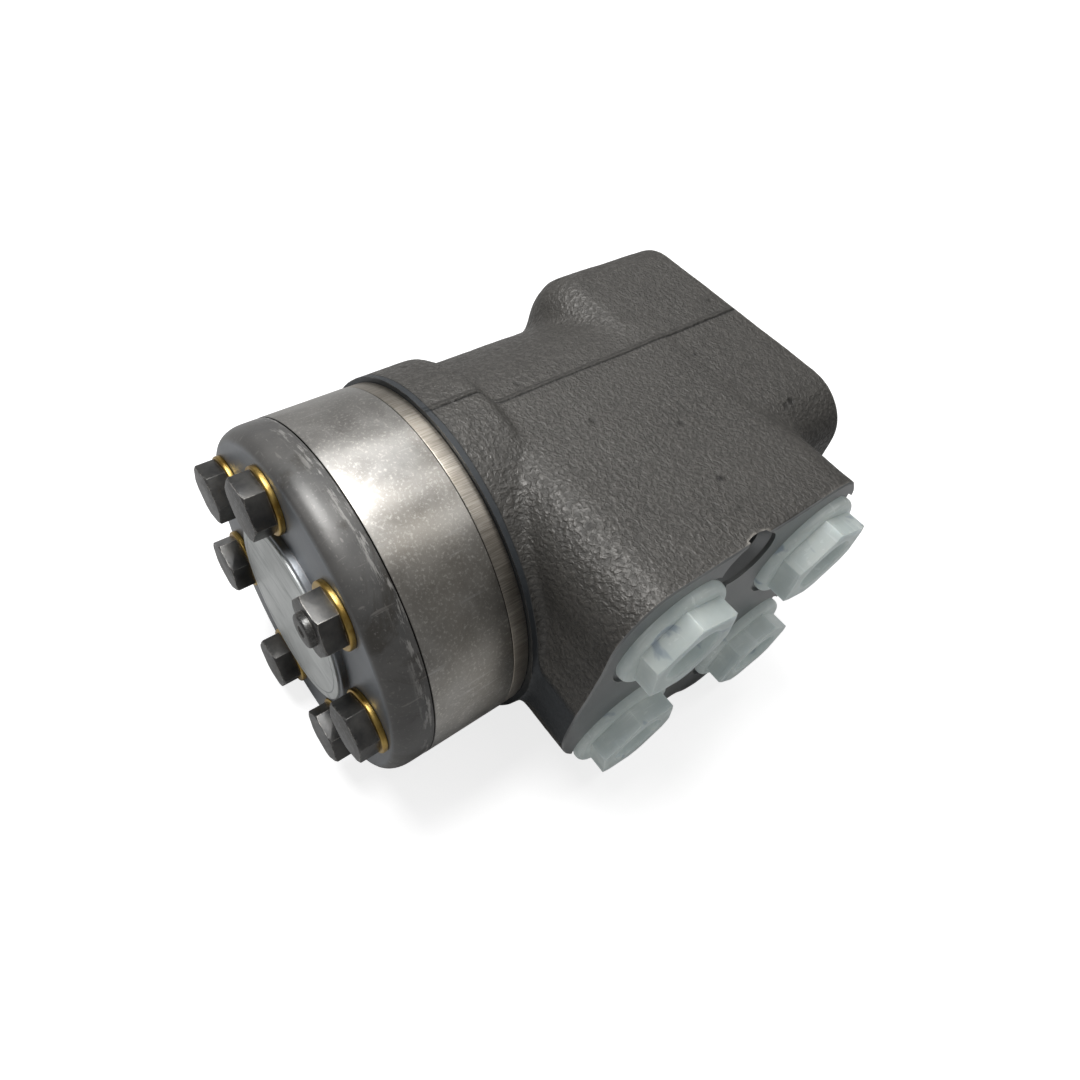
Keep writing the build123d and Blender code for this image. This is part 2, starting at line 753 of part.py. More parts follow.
# ================================================================ port plugs
for plug_number, (port_depth, port_z, gallery_depth) in enumerate(ports):
    with BuildPart() as port_plug:
        place = (-port_depth, port_z)
        with BuildSketch(Plane.YZ.offset(spot_face_x)):
            with Locations(place):
                Circle(plug_flange_r)
        extrude(amount=plug_flange_thickness)
        fillet(port_plug.faces().sort_by(Axis.X)[-1].edges(), plug_flange_round)
        with BuildSketch(Plane.YZ.offset(spot_face_x)):
            with Locations(place):
                RegularPolygon(
                    plug_flats / 2, 6, major_radius=False, rotation=plug_turns[plug_number]
                )
        extrude(amount=plug_flange_thickness + plug_hex_height)
        with BuildSketch(Plane.YZ.offset(spot_face_x - plug_shank_length)):
            with Locations(place):
                Circle(port_core_r - slip_gap)
        extrude(amount=plug_shank_length)
        hollow_floor = spot_face_x + plug_flange_thickness + plug_hex_height - plug_hollow_depth
        with BuildSketch(Plane.YZ.offset(hollow_floor)):
            with Locations(place):
                Circle(plug_hollow_r)
        extrude(amount=plug_hollow_depth, mode=Mode.SUBTRACT)
    finish(port_plug, f"port_plug_{plug_number + 1}")
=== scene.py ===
# %% [markdown]
# # An orbital steering unit
# A steering unit is a small hydraulic machine. A cast housing carries the ports and the
# rotary valve, and a gear set is bolted on its end under a round cover. This script dresses
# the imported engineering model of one: every visible piece is modelled again more finely, gets
# the finish of the real thing, and is placed where the engineering model has it.
#
# All lengths below are written in millimetres and turned into metres by `MM`.

# %% The frame
from math import cos, hypot, pi, radians, sin, sqrt

import bmesh
import bpy
from mathutils import Matrix, Vector
from mathutils.noise import noise as noise_at


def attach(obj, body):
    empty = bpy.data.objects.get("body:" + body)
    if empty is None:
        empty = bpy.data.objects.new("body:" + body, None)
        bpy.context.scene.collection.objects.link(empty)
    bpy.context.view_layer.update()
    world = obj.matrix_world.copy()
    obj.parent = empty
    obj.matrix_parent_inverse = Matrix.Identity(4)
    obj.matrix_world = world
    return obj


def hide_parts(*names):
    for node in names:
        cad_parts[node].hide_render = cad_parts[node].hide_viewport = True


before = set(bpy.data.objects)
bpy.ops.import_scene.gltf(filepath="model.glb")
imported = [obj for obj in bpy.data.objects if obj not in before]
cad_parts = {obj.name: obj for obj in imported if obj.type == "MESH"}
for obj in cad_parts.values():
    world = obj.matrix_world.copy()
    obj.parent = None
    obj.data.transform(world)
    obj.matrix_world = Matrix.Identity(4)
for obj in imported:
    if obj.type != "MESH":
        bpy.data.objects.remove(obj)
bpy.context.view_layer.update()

MM = 0.001

# %% [markdown]
# ## The camera
# The camera looks down on the unit from the port side, and is rolled so that the main axis
# runs from the lower left to the upper right. Angles for that are hard to read, so its three
# directions are written as vectors, and a rotation matrix is made of them: right, up and
# backwards are its columns.

# %% Camera
eye = Vector((97.7, -173.0, 162.3)) * MM
right = Vector((0.6001, 0.7859, 0.1490)).normalized()
back = right.cross(Vector((-0.6810, 0.4043, 0.6105))).normalized()
up = back.cross(right)
camera_data = bpy.data.cameras.new("camera")
camera = bpy.data.objects.new("camera", camera_data)
bpy.context.scene.collection.objects.link(camera)
camera.matrix_world = Matrix.Translation(eye) @ Matrix((right, up, back)).transposed().to_4x4()
camera_data.sensor_width = 36.0
camera_data.lens = 25.6
camera_data.shift_x = 0.0191
camera_data.shift_y = -0.0033
camera_data.clip_start = 5 * MM
bpy.context.scene.camera = camera
print("camera", [round(c / MM) for c in eye], "mm, lens", camera_data.lens)

# %% [markdown]
# ## Shader helpers
# Materials are node trees. Writing each node by hand gets long, so `node` adds one, sets its
# properties, and fills its sockets: what another node puts out is linked, and a plain value
# is stored. `ramp` and `mix` are the two nodes that every finish below uses most.

# %% Values and colours
def put(tree, socket, value):
    """Link a socket to what another node puts out, or store a plain value in it."""
    if isinstance(value, bpy.types.NodeSocket):
        tree.links.new(value, socket)
    else:
        socket.default_value = value


def node(tree, kind, sockets=None, **settings):
    """Add a shader node; sockets maps the names of inputs to what goes into them."""
    made = tree.nodes.new("ShaderNode" + kind)
    for key, value in settings.items():
        setattr(made, key, value)
    for key, value in (sockets or {}).items():
        put(tree, made.inputs[key], value)
    return made


def ramp(tree, value, low, high, start=0.0, end=1.0):
    """Stretch a value between low and high to start..end, clamped."""
    sockets = {"Value": value, "From Min": low, "From Max": high, "To Min": start, "To Max": end}
    return node(tree, "MapRange", sockets).outputs["Result"]


def mix(tree, mask, one, two):
    """Mix two colours by a mask."""
    one, two = [(*c, 1.0) if isinstance(c, tuple) else c for c in (one, two)]
    return node(tree, "Mix", {0: mask, 6: one, 7: two}, data_type="RGBA").outputs[2]


def maths(tree, operation, one, two=0.0):
    """One Math node."""
    return node(tree, "Math", {0: one, 1: two}, operation=operation).outputs[0]


def times(tree, one, two):
    """The product of two values or masks."""
    return maths(tree, "MULTIPLY", one, two)


# %% Places and patterns
def coordinates(tree, scale=(1.0, 1.0, 1.0), turn=(0.0, 0.0, 0.0)):
    """Object coordinates in metres, multiplied by scale along each axis."""
    place = node(tree, "TexCoord").outputs["Object"]
    made = node(tree, "Mapping", {"Vector": place, "Scale": scale, "Rotation": turn})
    return made.outputs["Vector"]


def along(tree, place, axis):
    """How far a place lies along X, Y or Z, in metres."""
    return node(tree, "SeparateXYZ", {"Vector": place}).outputs[axis]


def from_axis(tree, place):
    """How far a place lies from the main axis, in metres."""
    squares = [maths(tree, "POWER", along(tree, place, axis), 2.0) for axis in "XZ"]
    return maths(tree, "SQRT", maths(tree, "ADD", *squares))


def from_point(tree, place, point):
    """How far a place lies from a point given in millimetres, in metres."""
    sockets = {0: place, 1: Vector(point) * MM}
    return node(tree, "VectorMath", sockets, operation="DISTANCE").outputs["Value"]


def noise(tree, place, scale, detail=4.0, rough=0.55, warp=0.0):
    """A noise value around 0.5."""
    sockets = {
        "Vector": place, "Scale": scale, "Detail": detail, "Roughness": rough, "Distortion": warp,
    }
    return node(tree, "TexNoise", sockets).outputs["Fac"]


def bump(tree, height, distance, strength=1.0, normal=None):
    """A bump from a height in 0..1; distance is how high 1 is, in millimetres."""
    sockets = {"Height": height, "Distance": distance * MM, "Strength": strength}
    if normal is not None:
        sockets["Normal"] = normal
    return node(tree, "Bump", sockets).outputs["Normal"]


# %% Groups and materials
def new_group(name, inputs, outputs):
    """An empty node group with named float or vector inputs and outputs."""
    tree = bpy.data.node_groups.new(name, "ShaderNodeTree")
    for label, kind, value in inputs:
        made = tree.interface.new_socket(
            name=label, in_out="INPUT", socket_type="NodeSocket" + kind,
        )
        if value is not None:
            made.default_value = value
    for label, kind in outputs:
        tree.interface.new_socket(name=label, in_out="OUTPUT", socket_type="NodeSocket" + kind)
    return tree, tree.nodes.new("NodeGroupInput").outputs, tree.nodes.new("NodeGroupOutput").inputs


def feed(tree, made, **sockets):
    """Fill sockets of a node; underscores in their names stand for spaces."""
    for key, value in sockets.items():
        put(tree, made.inputs[key.replace("_", " ")], value)


def use_group(tree, group, **sockets):
    """Place a node group, and return what it puts out."""
    made = tree.nodes.new("ShaderNodeGroup")
    made.node_tree = group
    feed(tree, made, **sockets)
    return made.outputs


def new_material(name, **sockets):
    """A material with one Principled shader."""
    made = bpy.data.materials.new(name)
    made.use_nodes = True
    shader = made.node_tree.nodes["Principled BSDF"]
    feed(made.node_tree, shader, **sockets)
    return made, made.node_tree, shader


# %% [markdown]
# ## Floor, room and lamps
# The unit lies on a plain white table. A floor bright enough to show as white would throw its
# light up on the unit, so it glows for the camera only. Near the unit a part of its colour
# glows and the rest is lit, which keeps the shadow, and further away it all glows.

# %% Floor
floor_z = -47.0
near, far, near_glow = 100.0, 360.0, 0.78
floor_mesh = bpy.data.meshes.new("floor")
bm = bmesh.new()
bmesh.ops.create_grid(bm, x_segments=1, y_segments=1, size=3.0)
bmesh.ops.translate(bm, verts=bm.verts, vec=(0, 0, floor_z * MM))
bm.to_mesh(floor_mesh)
bm.free()
floor = bpy.data.objects.new("floor", floor_mesh)
bpy.context.scene.collection.objects.link(floor)

paper, tree, shader = new_material(
    "floor_paper", Roughness=0.9, Specular_IOR_Level=0.0, Emission_Color=(1, 1, 1, 1),
)
place = coordinates(tree)
glow = ramp(tree, from_point(tree, place, (0, -90, 0)), near * MM, far * MM, near_glow, 1.0)
glow = times(tree, node(tree, "LightPath").outputs["Is Camera Ray"], glow)
tone = mix(tree, noise(tree, place, 60.0), (0.46, 0.46, 0.46), (0.48, 0.48, 0.48))
feed(tree, shader, Base_Color=tone, Emission_Strength=glow)
floor_mesh.materials.append(paper)
print("floor at", floor_z, "mm")

# %% Room light
room_strength = 0.19
world = bpy.data.worlds.new("room")
bpy.context.scene.world = world
world.use_nodes = True
tree = world.node_tree
backdrop = tree.nodes["Background"]
backdrop.inputs["Color"].default_value = (1, 1, 1, 1)
seen = node(tree, "LightPath").outputs["Is Camera Ray"]
tree.links.new(ramp(tree, seen, 0.0, 1.0, room_strength, 1.0), backdrop.inputs["Strength"])
bpy.context.scene.view_settings.view_transform = "Standard"
print("room light", room_strength)

# %% [markdown]
# A square lamp above the near end lights the whole unit, and a weak one fills the shadows on
# the cover. The four windows stand where the turned steel mirrors them to the camera: they
# draw the bright bands that run along the ring. A band needs a lamp as long as itself, so the
# long side of each window lies along the main axis.

# %% Lamps
ring_spot = Vector((0, -112, 40))
window_distance = window_length = 420
windows = [                        # direction from the ring, width, watts
    ((-0.58, 0.39, 0.71), 40, 0.28),
    ((-0.07, 0.38, 0.92), 50, 0.25),
    ((0.36, 0.38, 0.85), 36, 0.19),
    ((-0.92, 0.34, 0.12), 300, 0.10),
]


def soft_lamp(name, place, target, size, watts):
    """A rectangular lamp at place, in millimetres, that points at target."""
    data = bpy.data.lights.new(name, "AREA")
    data.shape = "RECTANGLE"
    data.size, data.size_y = size[0] * MM, size[1] * MM
    data.energy = watts
    lamp = bpy.data.objects.new(name, data)
    away = (Vector(place) - Vector(target)).normalized()
    side = Vector((0, 1, 0)).cross(away).normalized()
    turn = Matrix((side, away.cross(side), away)).transposed().to_4x4()
    lamp.matrix_world = Matrix.Translation(Vector(place) * MM) @ turn
    bpy.context.scene.collection.objects.link(lamp)


soft_lamp("lamp_key", (-120, -190, 540), (0, -70, 0), (260, 260), 3.1)
soft_lamp("lamp_fill", (-200, -480, 300), (0, -136, 0), (160, 160), 0.12)
for number, (way, width, watts) in enumerate(windows):
    place = ring_spot + window_distance * Vector(way)
    soft_lamp(f"lamp_window_{number + 1}", place, ring_spot, (width, window_length), watts)
print("lamps", len(bpy.data.lights))

# %% [markdown]
# ## Sizes along the main axis
# The gear set is a stack of discs, each seated on the one before. So a place is written as
# its depth from the column face, and follows from the thickness of each piece. They come
# before the finishes, because some stains and lines keep to a joint of the stack.

# %% Sizes along the main axis
housing_length = 100.2
stack_r = 45.0
plate_end = housing_length + 4.3
ring_end = plate_end + 21.5
cover_end = ring_end + 9.6
boss_end = cover_end + 1.7
washer_thickness = 1.5
head_start = cover_end + washer_thickness
head_top = head_start + 4.9
print("the bolt heads end at", round(head_top, 1), "mm")

# %% [markdown]
# ## Shared surface effects
# Real metal is never one even colour. Three effects are used again and again, so each is a
# node group: `cast_skin` is the orange-peel and the pits of a sand casting, `fine_scratches`
# is a mask of thin handling scratches, and `worn_edge` finds the edges of a piece by comparing
# the normal with one that is rounded over a small radius.

# %% Group: cast skin
cast_skin, inside, outside = new_group(
    "cast_skin",
    [("Vector", "Vector", None), ("Grain per metre", "Float", 700.0), ("Pits", "Float", 0.5)],
    [("Height", "Float"), ("Pit mask", "Float"), ("Blotches", "Float")],
)
tree, place = cast_skin, inside["Vector"]
coarse = noise(tree, place, 380.0, 2.0, 0.5)
grains = noise(tree, place, inside["Grain per metre"], 1.6, 0.5, 0.5)
height = maths(tree, "ADD", times(tree, coarse, 0.35), grains)
spots = node(tree, "TexVoronoi", {"Vector": place, "Scale": 120.0}).outputs["Distance"]
where = ramp(tree, noise(tree, place, 45.0, 2.0), 0.52, 0.60)
pit = times(tree, times(tree, ramp(tree, spots, 0.16, 0.05), where), inside["Pits"])
tree.links.new(maths(tree, "SUBTRACT", height, pit), outside["Height"])
tree.links.new(pit, outside["Pit mask"])
tree.links.new(noise(tree, place, 38.0, 5.0, 0.6, 0.4), outside["Blotches"])
print(tree.name, len(tree.nodes), "nodes")

# %% Group: fine scratches
fine_scratches, inside, outside = new_group(
    "fine_scratches",
    [("Vector", "Vector", None), ("Threshold", "Float", 0.68)],
    [("Mask", "Float")],
)
tree, place, lowest = fine_scratches, inside["Vector"], inside["Threshold"]
total = None
for turn, scale in ((0.35, (900, 60, 900)), (1.2, (60, 1100, 1100)), (-0.8, (1300, 90, 90))):
    sockets = {"Vector": place, "Rotation": (turn, 0.4 * turn, turn), "Scale": scale}
    thread = noise(tree, node(tree, "Mapping", sockets).outputs["Vector"], 1.0, 1.0, 0.4)
    total = thread if total is None else maths(tree, "MAXIMUM", total, thread)
mask = ramp(tree, total, lowest, maths(tree, "ADD", lowest, 0.05))
patches = ramp(tree, noise(tree, place, 55.0, 2.0), 0.42, 0.6)
tree.links.new(times(tree, mask, patches), outside["Mask"])
print(tree.name, len(tree.nodes), "nodes")

# %% Group: worn edge
worn_edge, inside, outside = new_group(
    "worn_edge",
    [("Vector", "Vector", None), ("Radius", "Float", 0.6 * MM), ("Break up", "Float", 260.0)],
    [("Mask", "Float")],
)
tree = worn_edge
rounded = node(tree, "Bevel", {"Radius": inside["Radius"]}, samples=6).outputs["Normal"]
sockets = {0: rounded, 1: node(tree, "NewGeometry").outputs["Normal"]}
likeness = node(tree, "VectorMath", sockets, operation="DOT_PRODUCT").outputs["Value"]
rub = ramp(tree, noise(tree, inside["Vector"], inside["Break up"], 4.0, 0.5), 0.35, 0.60)
tree.links.new(times(tree, ramp(tree, likeness, 0.995, 0.90), rub), outside["Mask"])
print(tree.name, len(tree.nodes), "nodes")

# %% [markdown]
# ## Cast iron and the faces cut into it
# The housing is grey iron with a thin dark paint-like skin, rough and slightly glossy. Where
# a cutter went over it the iron is bare: smoother, bluer and lighter. These are two
# materials, so that the faces made by a cutting tool can carry the second one.
#
# The casting also shows where the two halves of the sand mould met: a thin raised flash, which
# jogs next to the collar, with a dark line of painted shade beside it where the step between the
# halves would throw its shadow. Lines that thin would need a very fine mesh, so they are drawn by
# the distance from a plane. The end of the collar was turned clean, so it has no relief there, and
# its dark bluish band is a painted reflection.

# %% Material: cast iron
cast_iron, tree, shader = new_material("cast_iron", Metallic=0.25)
place = coordinates(tree)
skin = use_group(tree, cast_skin, Vector=place, Grain_per_metre=980.0, Pits=0.8)
wear = use_group(tree, worn_edge, Vector=place, Radius=0.9 * MM, Break_up=520.0)["Mask"]
blotches = ramp(tree, skin["Blotches"], 0.35, 0.65)
tone = mix(tree, blotches, (0.046, 0.0435, 0.0395), (0.057, 0.054, 0.049))
tone = mix(tree, ramp(tree, skin["Height"], 0.62, 0.78), tone, (0.071, 0.067, 0.061))
pits = skin["Pit mask"]
for centre, radius in (((44.0, -52.8, 43.8), 1.3), ((9.7, -25.8, 43.5), 0.7)):
    away = from_point(tree, place, centre)
    pits = maths(tree, "MAXIMUM", pits, ramp(tree, away, radius * MM, 0.3 * radius * MM))
tone = mix(tree, pits, tone, (0.010, 0.009, 0.008))
tone = mix(tree, times(tree, wear, 0.6), tone, (0.30, 0.28, 0.25))

# %% Parting line and turned end of the casting
jog = ramp(tree, along(tree, place, "Y"), -86 * MM, -82 * MM, -3.5 * MM, 0.0)
from_seam = maths(tree, "SUBTRACT", along(tree, place, "X"), jog)
outer = ramp(tree, maths(tree, "ABSOLUTE", along(tree, place, "Z")), 30 * MM, 32 * MM)
flash = ramp(tree, maths(tree, "ABSOLUTE", from_seam), 0.9 * MM, 0.1 * MM)
beside = maths(tree, "ABSOLUTE", maths(tree, "SUBTRACT", from_seam, 0.8 * MM))
# A dark line beside the flash: painted shade of the step between the mould halves.
flash_painted_shade = ramp(tree, beside, 0.5 * MM, 0.0, 0.0, 0.75)
tone = mix(tree, times(tree, flash_painted_shade, outer), tone, (0.006, 0.006, 0.006))
wavy = maths(tree, "ADD", along(tree, place, "Y"), times(tree, skin["Blotches"], 0.8 * MM))
# The turned band at the end of the collar is smooth, without relief, and painted dark and bluish:
# a painted reflection.
turned_band_and_reflection = ramp(tree, wavy, -(housing_length - 2.0) * MM, -(housing_length - 1.7) * MM)
tone = mix(tree, turned_band_and_reflection, tone, (0.030, 0.034, 0.038))
rough = ramp(tree, skin["Height"], 0.55, 0.85, 0.58, 0.40)
height = times(tree, skin["Height"], maths(tree, "SUBTRACT", 1.0, turned_band_and_reflection))
relief = bump(tree, height, 0.46)
relief = bump(tree, times(tree, flash, outer), 0.7, normal=relief)
feed(tree, shader, Base_Color=tone, Roughness=rough, Normal=relief)
print(cast_iron.name, len(tree.nodes), "nodes")

# %% Material: machined iron
machined_iron, tree, shader = new_material("machined_iron", Metallic=0.75)
place = coordinates(tree)
clouds = noise(tree, place, 70.0, 5.0, 0.6)
marks = noise(tree, coordinates(tree, (300, 5200, 5200)), 1.0, 2.0)
wear = use_group(tree, worn_edge, Vector=place, Radius=0.7 * MM)["Mask"]
depth = along(tree, place, "Y")
# The ring end face and the machined walls within a millimetre or two of it are painted dark and
# bluish: a painted reflection.
painted_end_reflection = ramp(tree, depth, -(housing_length - 1.7) * MM, -(housing_length - 0.7) * MM)
tone = mix(tree, ramp(tree, clouds, 0.35, 0.65), (0.210, 0.215, 0.220), (0.300, 0.305, 0.305))
tone = mix(tree, painted_end_reflection, tone, (0.045, 0.050, 0.056))
tone = mix(tree, times(tree, wear, 0.4), tone, (0.42, 0.41, 0.38))
rough = ramp(tree, clouds, 0.3, 0.7, 0.34, 0.48)
feed(tree, shader, Base_Color=tone, Roughness=rough, Normal=bump(tree, marks, 0.02, 0.6))
print(machined_iron.name, len(tree.nodes), "nodes")

# %% [markdown]
# ## Steels of the gear set
# The stack that is bolted on the end has three finishes. The gear ring is ground and then
# handled: a bright satin with cloudy stains and fine marks. The thin plate behind it is
# brushed across its edge and a little warmer. The cover is phosphated, a dark soft grey that
# scratches pale and is rubbed into streaks next to the ring; its flat face is painted lighter
# and bluish, a painted reflection. The marks are stretched noise, on object coordinates, so
# that they follow the axis of the unit.

# %% Material: ring steel
ring_steel, tree, shader = new_material("ring_steel", Metallic=1.0)
place = coordinates(tree)
clouds = noise(tree, place, 105.0, 5.0, 0.62, 0.5)
specks = noise(tree, place, 1500.0, 3.0, 0.7)
grind = noise(tree, coordinates(tree, (90, 4200, 90)), 1.0, 2.0)
scratch = use_group(tree, fine_scratches, Vector=place, Threshold=0.70)["Mask"]
warm = ramp(tree, noise(tree, place, 24.0, 3.0), 0.50, 0.70, 0.0, 0.4)
half = (ring_end - plate_end) / 2
from_middle = maths(tree, "ADD", along(tree, place, "Y"), (plate_end + half) * MM)
joint = ramp(tree, maths(tree, "ABSOLUTE", from_middle), (half - 0.33) * MM, (half - 0.13) * MM)
tone = mix(tree, ramp(tree, clouds, 0.32, 0.68), (0.31, 0.298, 0.280), (0.45, 0.437, 0.415))
tone = mix(tree, warm, tone, (0.36, 0.32, 0.26))
tone = mix(tree, ramp(tree, specks, 0.53, 0.70, 0.0, 0.65), tone, (0.70, 0.68, 0.63))
tone = mix(tree, times(tree, scratch, 0.5), tone, (0.60, 0.59, 0.57))
tone = mix(tree, joint, tone, (0.02, 0.019, 0.018))
rough = ramp(tree, clouds, 0.3, 0.7, 0.31, 0.37)
rough = maths(tree, "ADD", rough, ramp(tree, specks, 0.3, 0.7, -0.02, 0.04))
height = maths(tree, "ADD", times(tree, grind, 0.3), specks)
feed(tree, shader, Base_Color=tone, Roughness=rough, Normal=bump(tree, height, 0.009, 0.7))
print(ring_steel.name, len(tree.nodes), "nodes")

# %% Material: plate steel
plate_steel, tree, shader = new_material("plate_steel", Metallic=1.0)
brush = noise(tree, coordinates(tree, (5200, 160, 5200)), 1.0, 3.0, 0.6)
clouds = noise(tree, coordinates(tree), 60.0, 4.0)
tone = mix(tree, ramp(tree, brush, 0.35, 0.65), (0.26, 0.235, 0.20), (0.44, 0.405, 0.355))
tone = mix(tree, ramp(tree, clouds, 0.45, 0.7, 0.0, 0.45), tone, (0.33, 0.28, 0.22))
rough = ramp(tree, brush, 0.3, 0.7, 0.30, 0.44)
feed(tree, shader, Base_Color=tone, Roughness=rough, Normal=bump(tree, brush, 0.02, 0.7))
print(plate_steel.name, len(tree.nodes), "nodes")

# %% Material: phosphated cover
phosphate, tree, shader = new_material("phosphate", Metallic=0.5)
place = coordinates(tree)
clouds = noise(tree, place, 52.0, 5.0, 0.6, 0.3)
specks = noise(tree, place, 1500.0, 3.0, 0.6)
scratch = use_group(tree, fine_scratches, Vector=place, Threshold=0.70)["Mask"]
wear = use_group(tree, worn_edge, Vector=place, Radius=0.5 * MM, Break_up=180.0)["Mask"]
away = from_axis(tree, place)
painted_face_reflection = ramp(tree, away, (stack_r - 1.8) * MM, (stack_r - 3.0) * MM)
on_rim = ramp(tree, away, (stack_r - 3.0) * MM, (stack_r - 1.0) * MM)
by_ring = ramp(tree, along(tree, place, "Y"), -(ring_end + 3.8) * MM, -(ring_end + 1.5) * MM)
stains = ramp(tree, noise(tree, place, 60.0, 5.0, 0.65, 0.8), 0.52, 0.62, 0.0, 0.7)
streaks = ramp(tree, noise(tree, coordinates(tree, (160, 900, 160)), 1.0, 5.0, 0.7), 0.52, 0.60)
rubbed = times(tree, times(tree, streaks, by_ring), 0.65)
tone = mix(tree, ramp(tree, clouds, 0.35, 0.68), (0.085, 0.084, 0.082), (0.140, 0.136, 0.130))
# The flat face is painted lighter and bluish: a painted reflection.
tone = mix(tree, painted_face_reflection, tone, (0.200, 0.212, 0.228))
tone = mix(tree, times(tree, stains, on_rim), tone, (0.052, 0.047, 0.040))
tone = mix(tree, ramp(tree, specks, 0.60, 0.72, 0.0, 0.5), tone, (0.22, 0.21, 0.20))
tone = mix(tree, rubbed, tone, (0.40, 0.39, 0.37))
bare = maths(tree, "MAXIMUM", times(tree, scratch, 0.3), wear)
tone = mix(tree, bare, tone, (0.34, 0.32, 0.30))
rough = ramp(tree, clouds, 0.3, 0.7, 0.34, 0.46)
feed(tree, shader, Base_Color=tone, Roughness=rough, Normal=bump(tree, specks, 0.03, 0.5))
print(phosphate.name, len(tree.nodes), "nodes")

# %% [markdown]
# ## Bolts, washers and name plate
# The bolts are black oxide over steel: dark, with bright rubbed corners and grey flecks on
# top of the heads. The sealing washers are zinc plated and passivated yellow, and the name
# plate is dull foil with a thin border line. Each could be one plain metal, but small pieces
# like these look like toys without uneven gloss, so the clouds also drive the roughness.

# %% Material: black oxide
black_oxide, tree, shader = new_material("black_oxide", Metallic=0.7)
place = coordinates(tree)
clouds = noise(tree, place, 160.0, 5.0, 0.6)
wear = use_group(tree, worn_edge, Vector=place, Radius=0.4 * MM, Break_up=700.0)["Mask"]
flecks = ramp(tree, noise(tree, place, 900.0, 4.0, 0.6, 0.6), 0.53, 0.58)
on_top = ramp(tree, along(tree, place, "Y"), -(head_top - 0.7) * MM, -(head_top - 0.2) * MM)
flecks = times(tree, times(tree, flecks, on_top), 0.6)
tone = mix(tree, ramp(tree, clouds, 0.35, 0.7), (0.046, 0.046, 0.046), (0.105, 0.102, 0.096))
tone = mix(tree, flecks, tone, (0.16, 0.16, 0.155))
tone = mix(tree, times(tree, wear, 0.9), tone, (0.40, 0.38, 0.35))
rough = ramp(tree, clouds, 0.3, 0.7, 0.30, 0.48)
fine = noise(tree, place, 1800.0, 3.0)
feed(tree, shader, Base_Color=tone, Roughness=rough, Normal=bump(tree, fine, 0.03, 0.5))
print(black_oxide.name, len(tree.nodes), "nodes")

# %% Material: yellow passivated washers
gold_zinc, tree, shader = new_material("gold_zinc", Metallic=1.0)
place = coordinates(tree)
clouds = noise(tree, place, 300.0, 4.0)
tone = mix(tree, ramp(tree, clouds, 0.35, 0.65), (0.36, 0.22, 0.05), (0.52, 0.37, 0.12))
rough = ramp(tree, clouds, 0.3, 0.7, 0.28, 0.40)
fine = noise(tree, place, 2200.0)
feed(tree, shader, Base_Color=tone, Roughness=rough, Normal=bump(tree, fine, 0.02, 0.4))
print(gold_zinc.name, len(tree.nodes), "nodes")

# %% Material: the bare name plate
line_r = 21.4
plate_foil, tree, shader = new_material("plate_foil", Metallic=0.45)
place = coordinates(tree)
clouds = noise(tree, place, 80.0, 5.0, 0.6, 0.5)
rubbed = noise(tree, coordinates(tree, (70, 70, 380), (0.0, 0.5, 0.0)), 1.0, 5.0, 0.65)
away = from_axis(tree, place)
starts = ramp(tree, away, (line_r - 0.20) * MM, (line_r - 0.15) * MM)
line = times(tree, starts, ramp(tree, away, (line_r + 0.20) * MM, (line_r + 0.15) * MM))
tone = mix(tree, ramp(tree, clouds, 0.35, 0.65), (0.52, 0.54, 0.53), (0.70, 0.72, 0.71))
tone = mix(tree, ramp(tree, rubbed, 0.56, 0.66, 0.0, 0.45), tone, (0.33, 0.35, 0.35))
tone = mix(tree, times(tree, line, 0.7), tone, (0.24, 0.27, 0.27))
rough = ramp(tree, rubbed, 0.4, 0.7, 0.38, 0.52)
feed(tree, shader, Base_Color=tone, Roughness=rough, Normal=bump(tree, rubbed, 0.03, 0.5))
print(plate_foil.name, len(tree.nodes), "nodes")

# %% [markdown]
# ## Milky plastic
# The transport plugs are thin-walled milky plastic with bluish smears of marking ink. Light
# enters it and comes out again a few millimetres on, which softens every shadow. Plain white
# paint can't do that, but subsurface scattering can. A little light of the same tone is
# emitted too, a painted glow that lifts the shaded sides of the plugs, in place of what the thin
# walls let through from behind.

# %% Material: milky plug plastic
milky_plastic, tree, shader = new_material(
    "milky_plastic", Roughness=0.36, IOR=1.5, Emission_Strength=0.30, Subsurface_Weight=1.0,
    Subsurface_Radius=(0.9, 1.0, 1.15), Subsurface_Scale=7 * MM,
)
shader.subsurface_method = "RANDOM_WALK"
place = coordinates(tree)
clouds = noise(tree, place, 110.0, 4.0)
dust = use_group(tree, fine_scratches, Vector=place, Threshold=0.66)["Mask"]
smears = ramp(tree, noise(tree, place, 130.0, 3.0, 0.5, 0.8), 0.63, 0.70, 0.0, 0.55)
tone = mix(tree, ramp(tree, clouds, 0.35, 0.65), (0.33, 0.37, 0.36), (0.40, 0.435, 0.42))
tone = mix(tree, times(tree, dust, 0.5), tone, (0.52, 0.55, 0.54))
tone = mix(tree, smears, tone, (0.11, 0.15, 0.21))
# Emission in the plugs' own tone: a painted glow that lifts their shaded sides.
feed(tree, shader, Base_Color=tone, Emission_Color=tone)
feed(tree, shader, Normal=bump(tree, noise(tree, place, 700.0, 3.0), 0.03, 0.5))
print(milky_plastic.name, len(tree.nodes), "nodes")

# %% [markdown]
# ## Finishes of the inner pieces
# The valve, the bearing and the gears inside are ground or turned steel in several shades,
# and the seals are rubber. They differ only in tone, gloss and the size of their clouds, so
# one function makes them all.

# %% Materials of the inner pieces
def plain_finish(name, dark, light, rough, scale=120.0, metallic=1.0):
    """A finish with cloudy tone, fine turning marks and a roughness that varies."""
    made, tree, shader = new_material(name, Metallic=metallic)
    clouds = noise(tree, coordinates(tree), scale, 4.0)
    marks = noise(tree, coordinates(tree, (200, 3600, 200)), 1.0, 2.0)
    feed(tree, shader, Base_Color=mix(tree, ramp(tree, clouds, 0.35, 0.65), dark, light))
    feed(tree, shader, Roughness=ramp(tree, clouds, 0.3, 0.7, rough - 0.06, rough + 0.06))
    feed(tree, shader, Normal=bump(tree, marks, 0.02, 0.6))
    return made


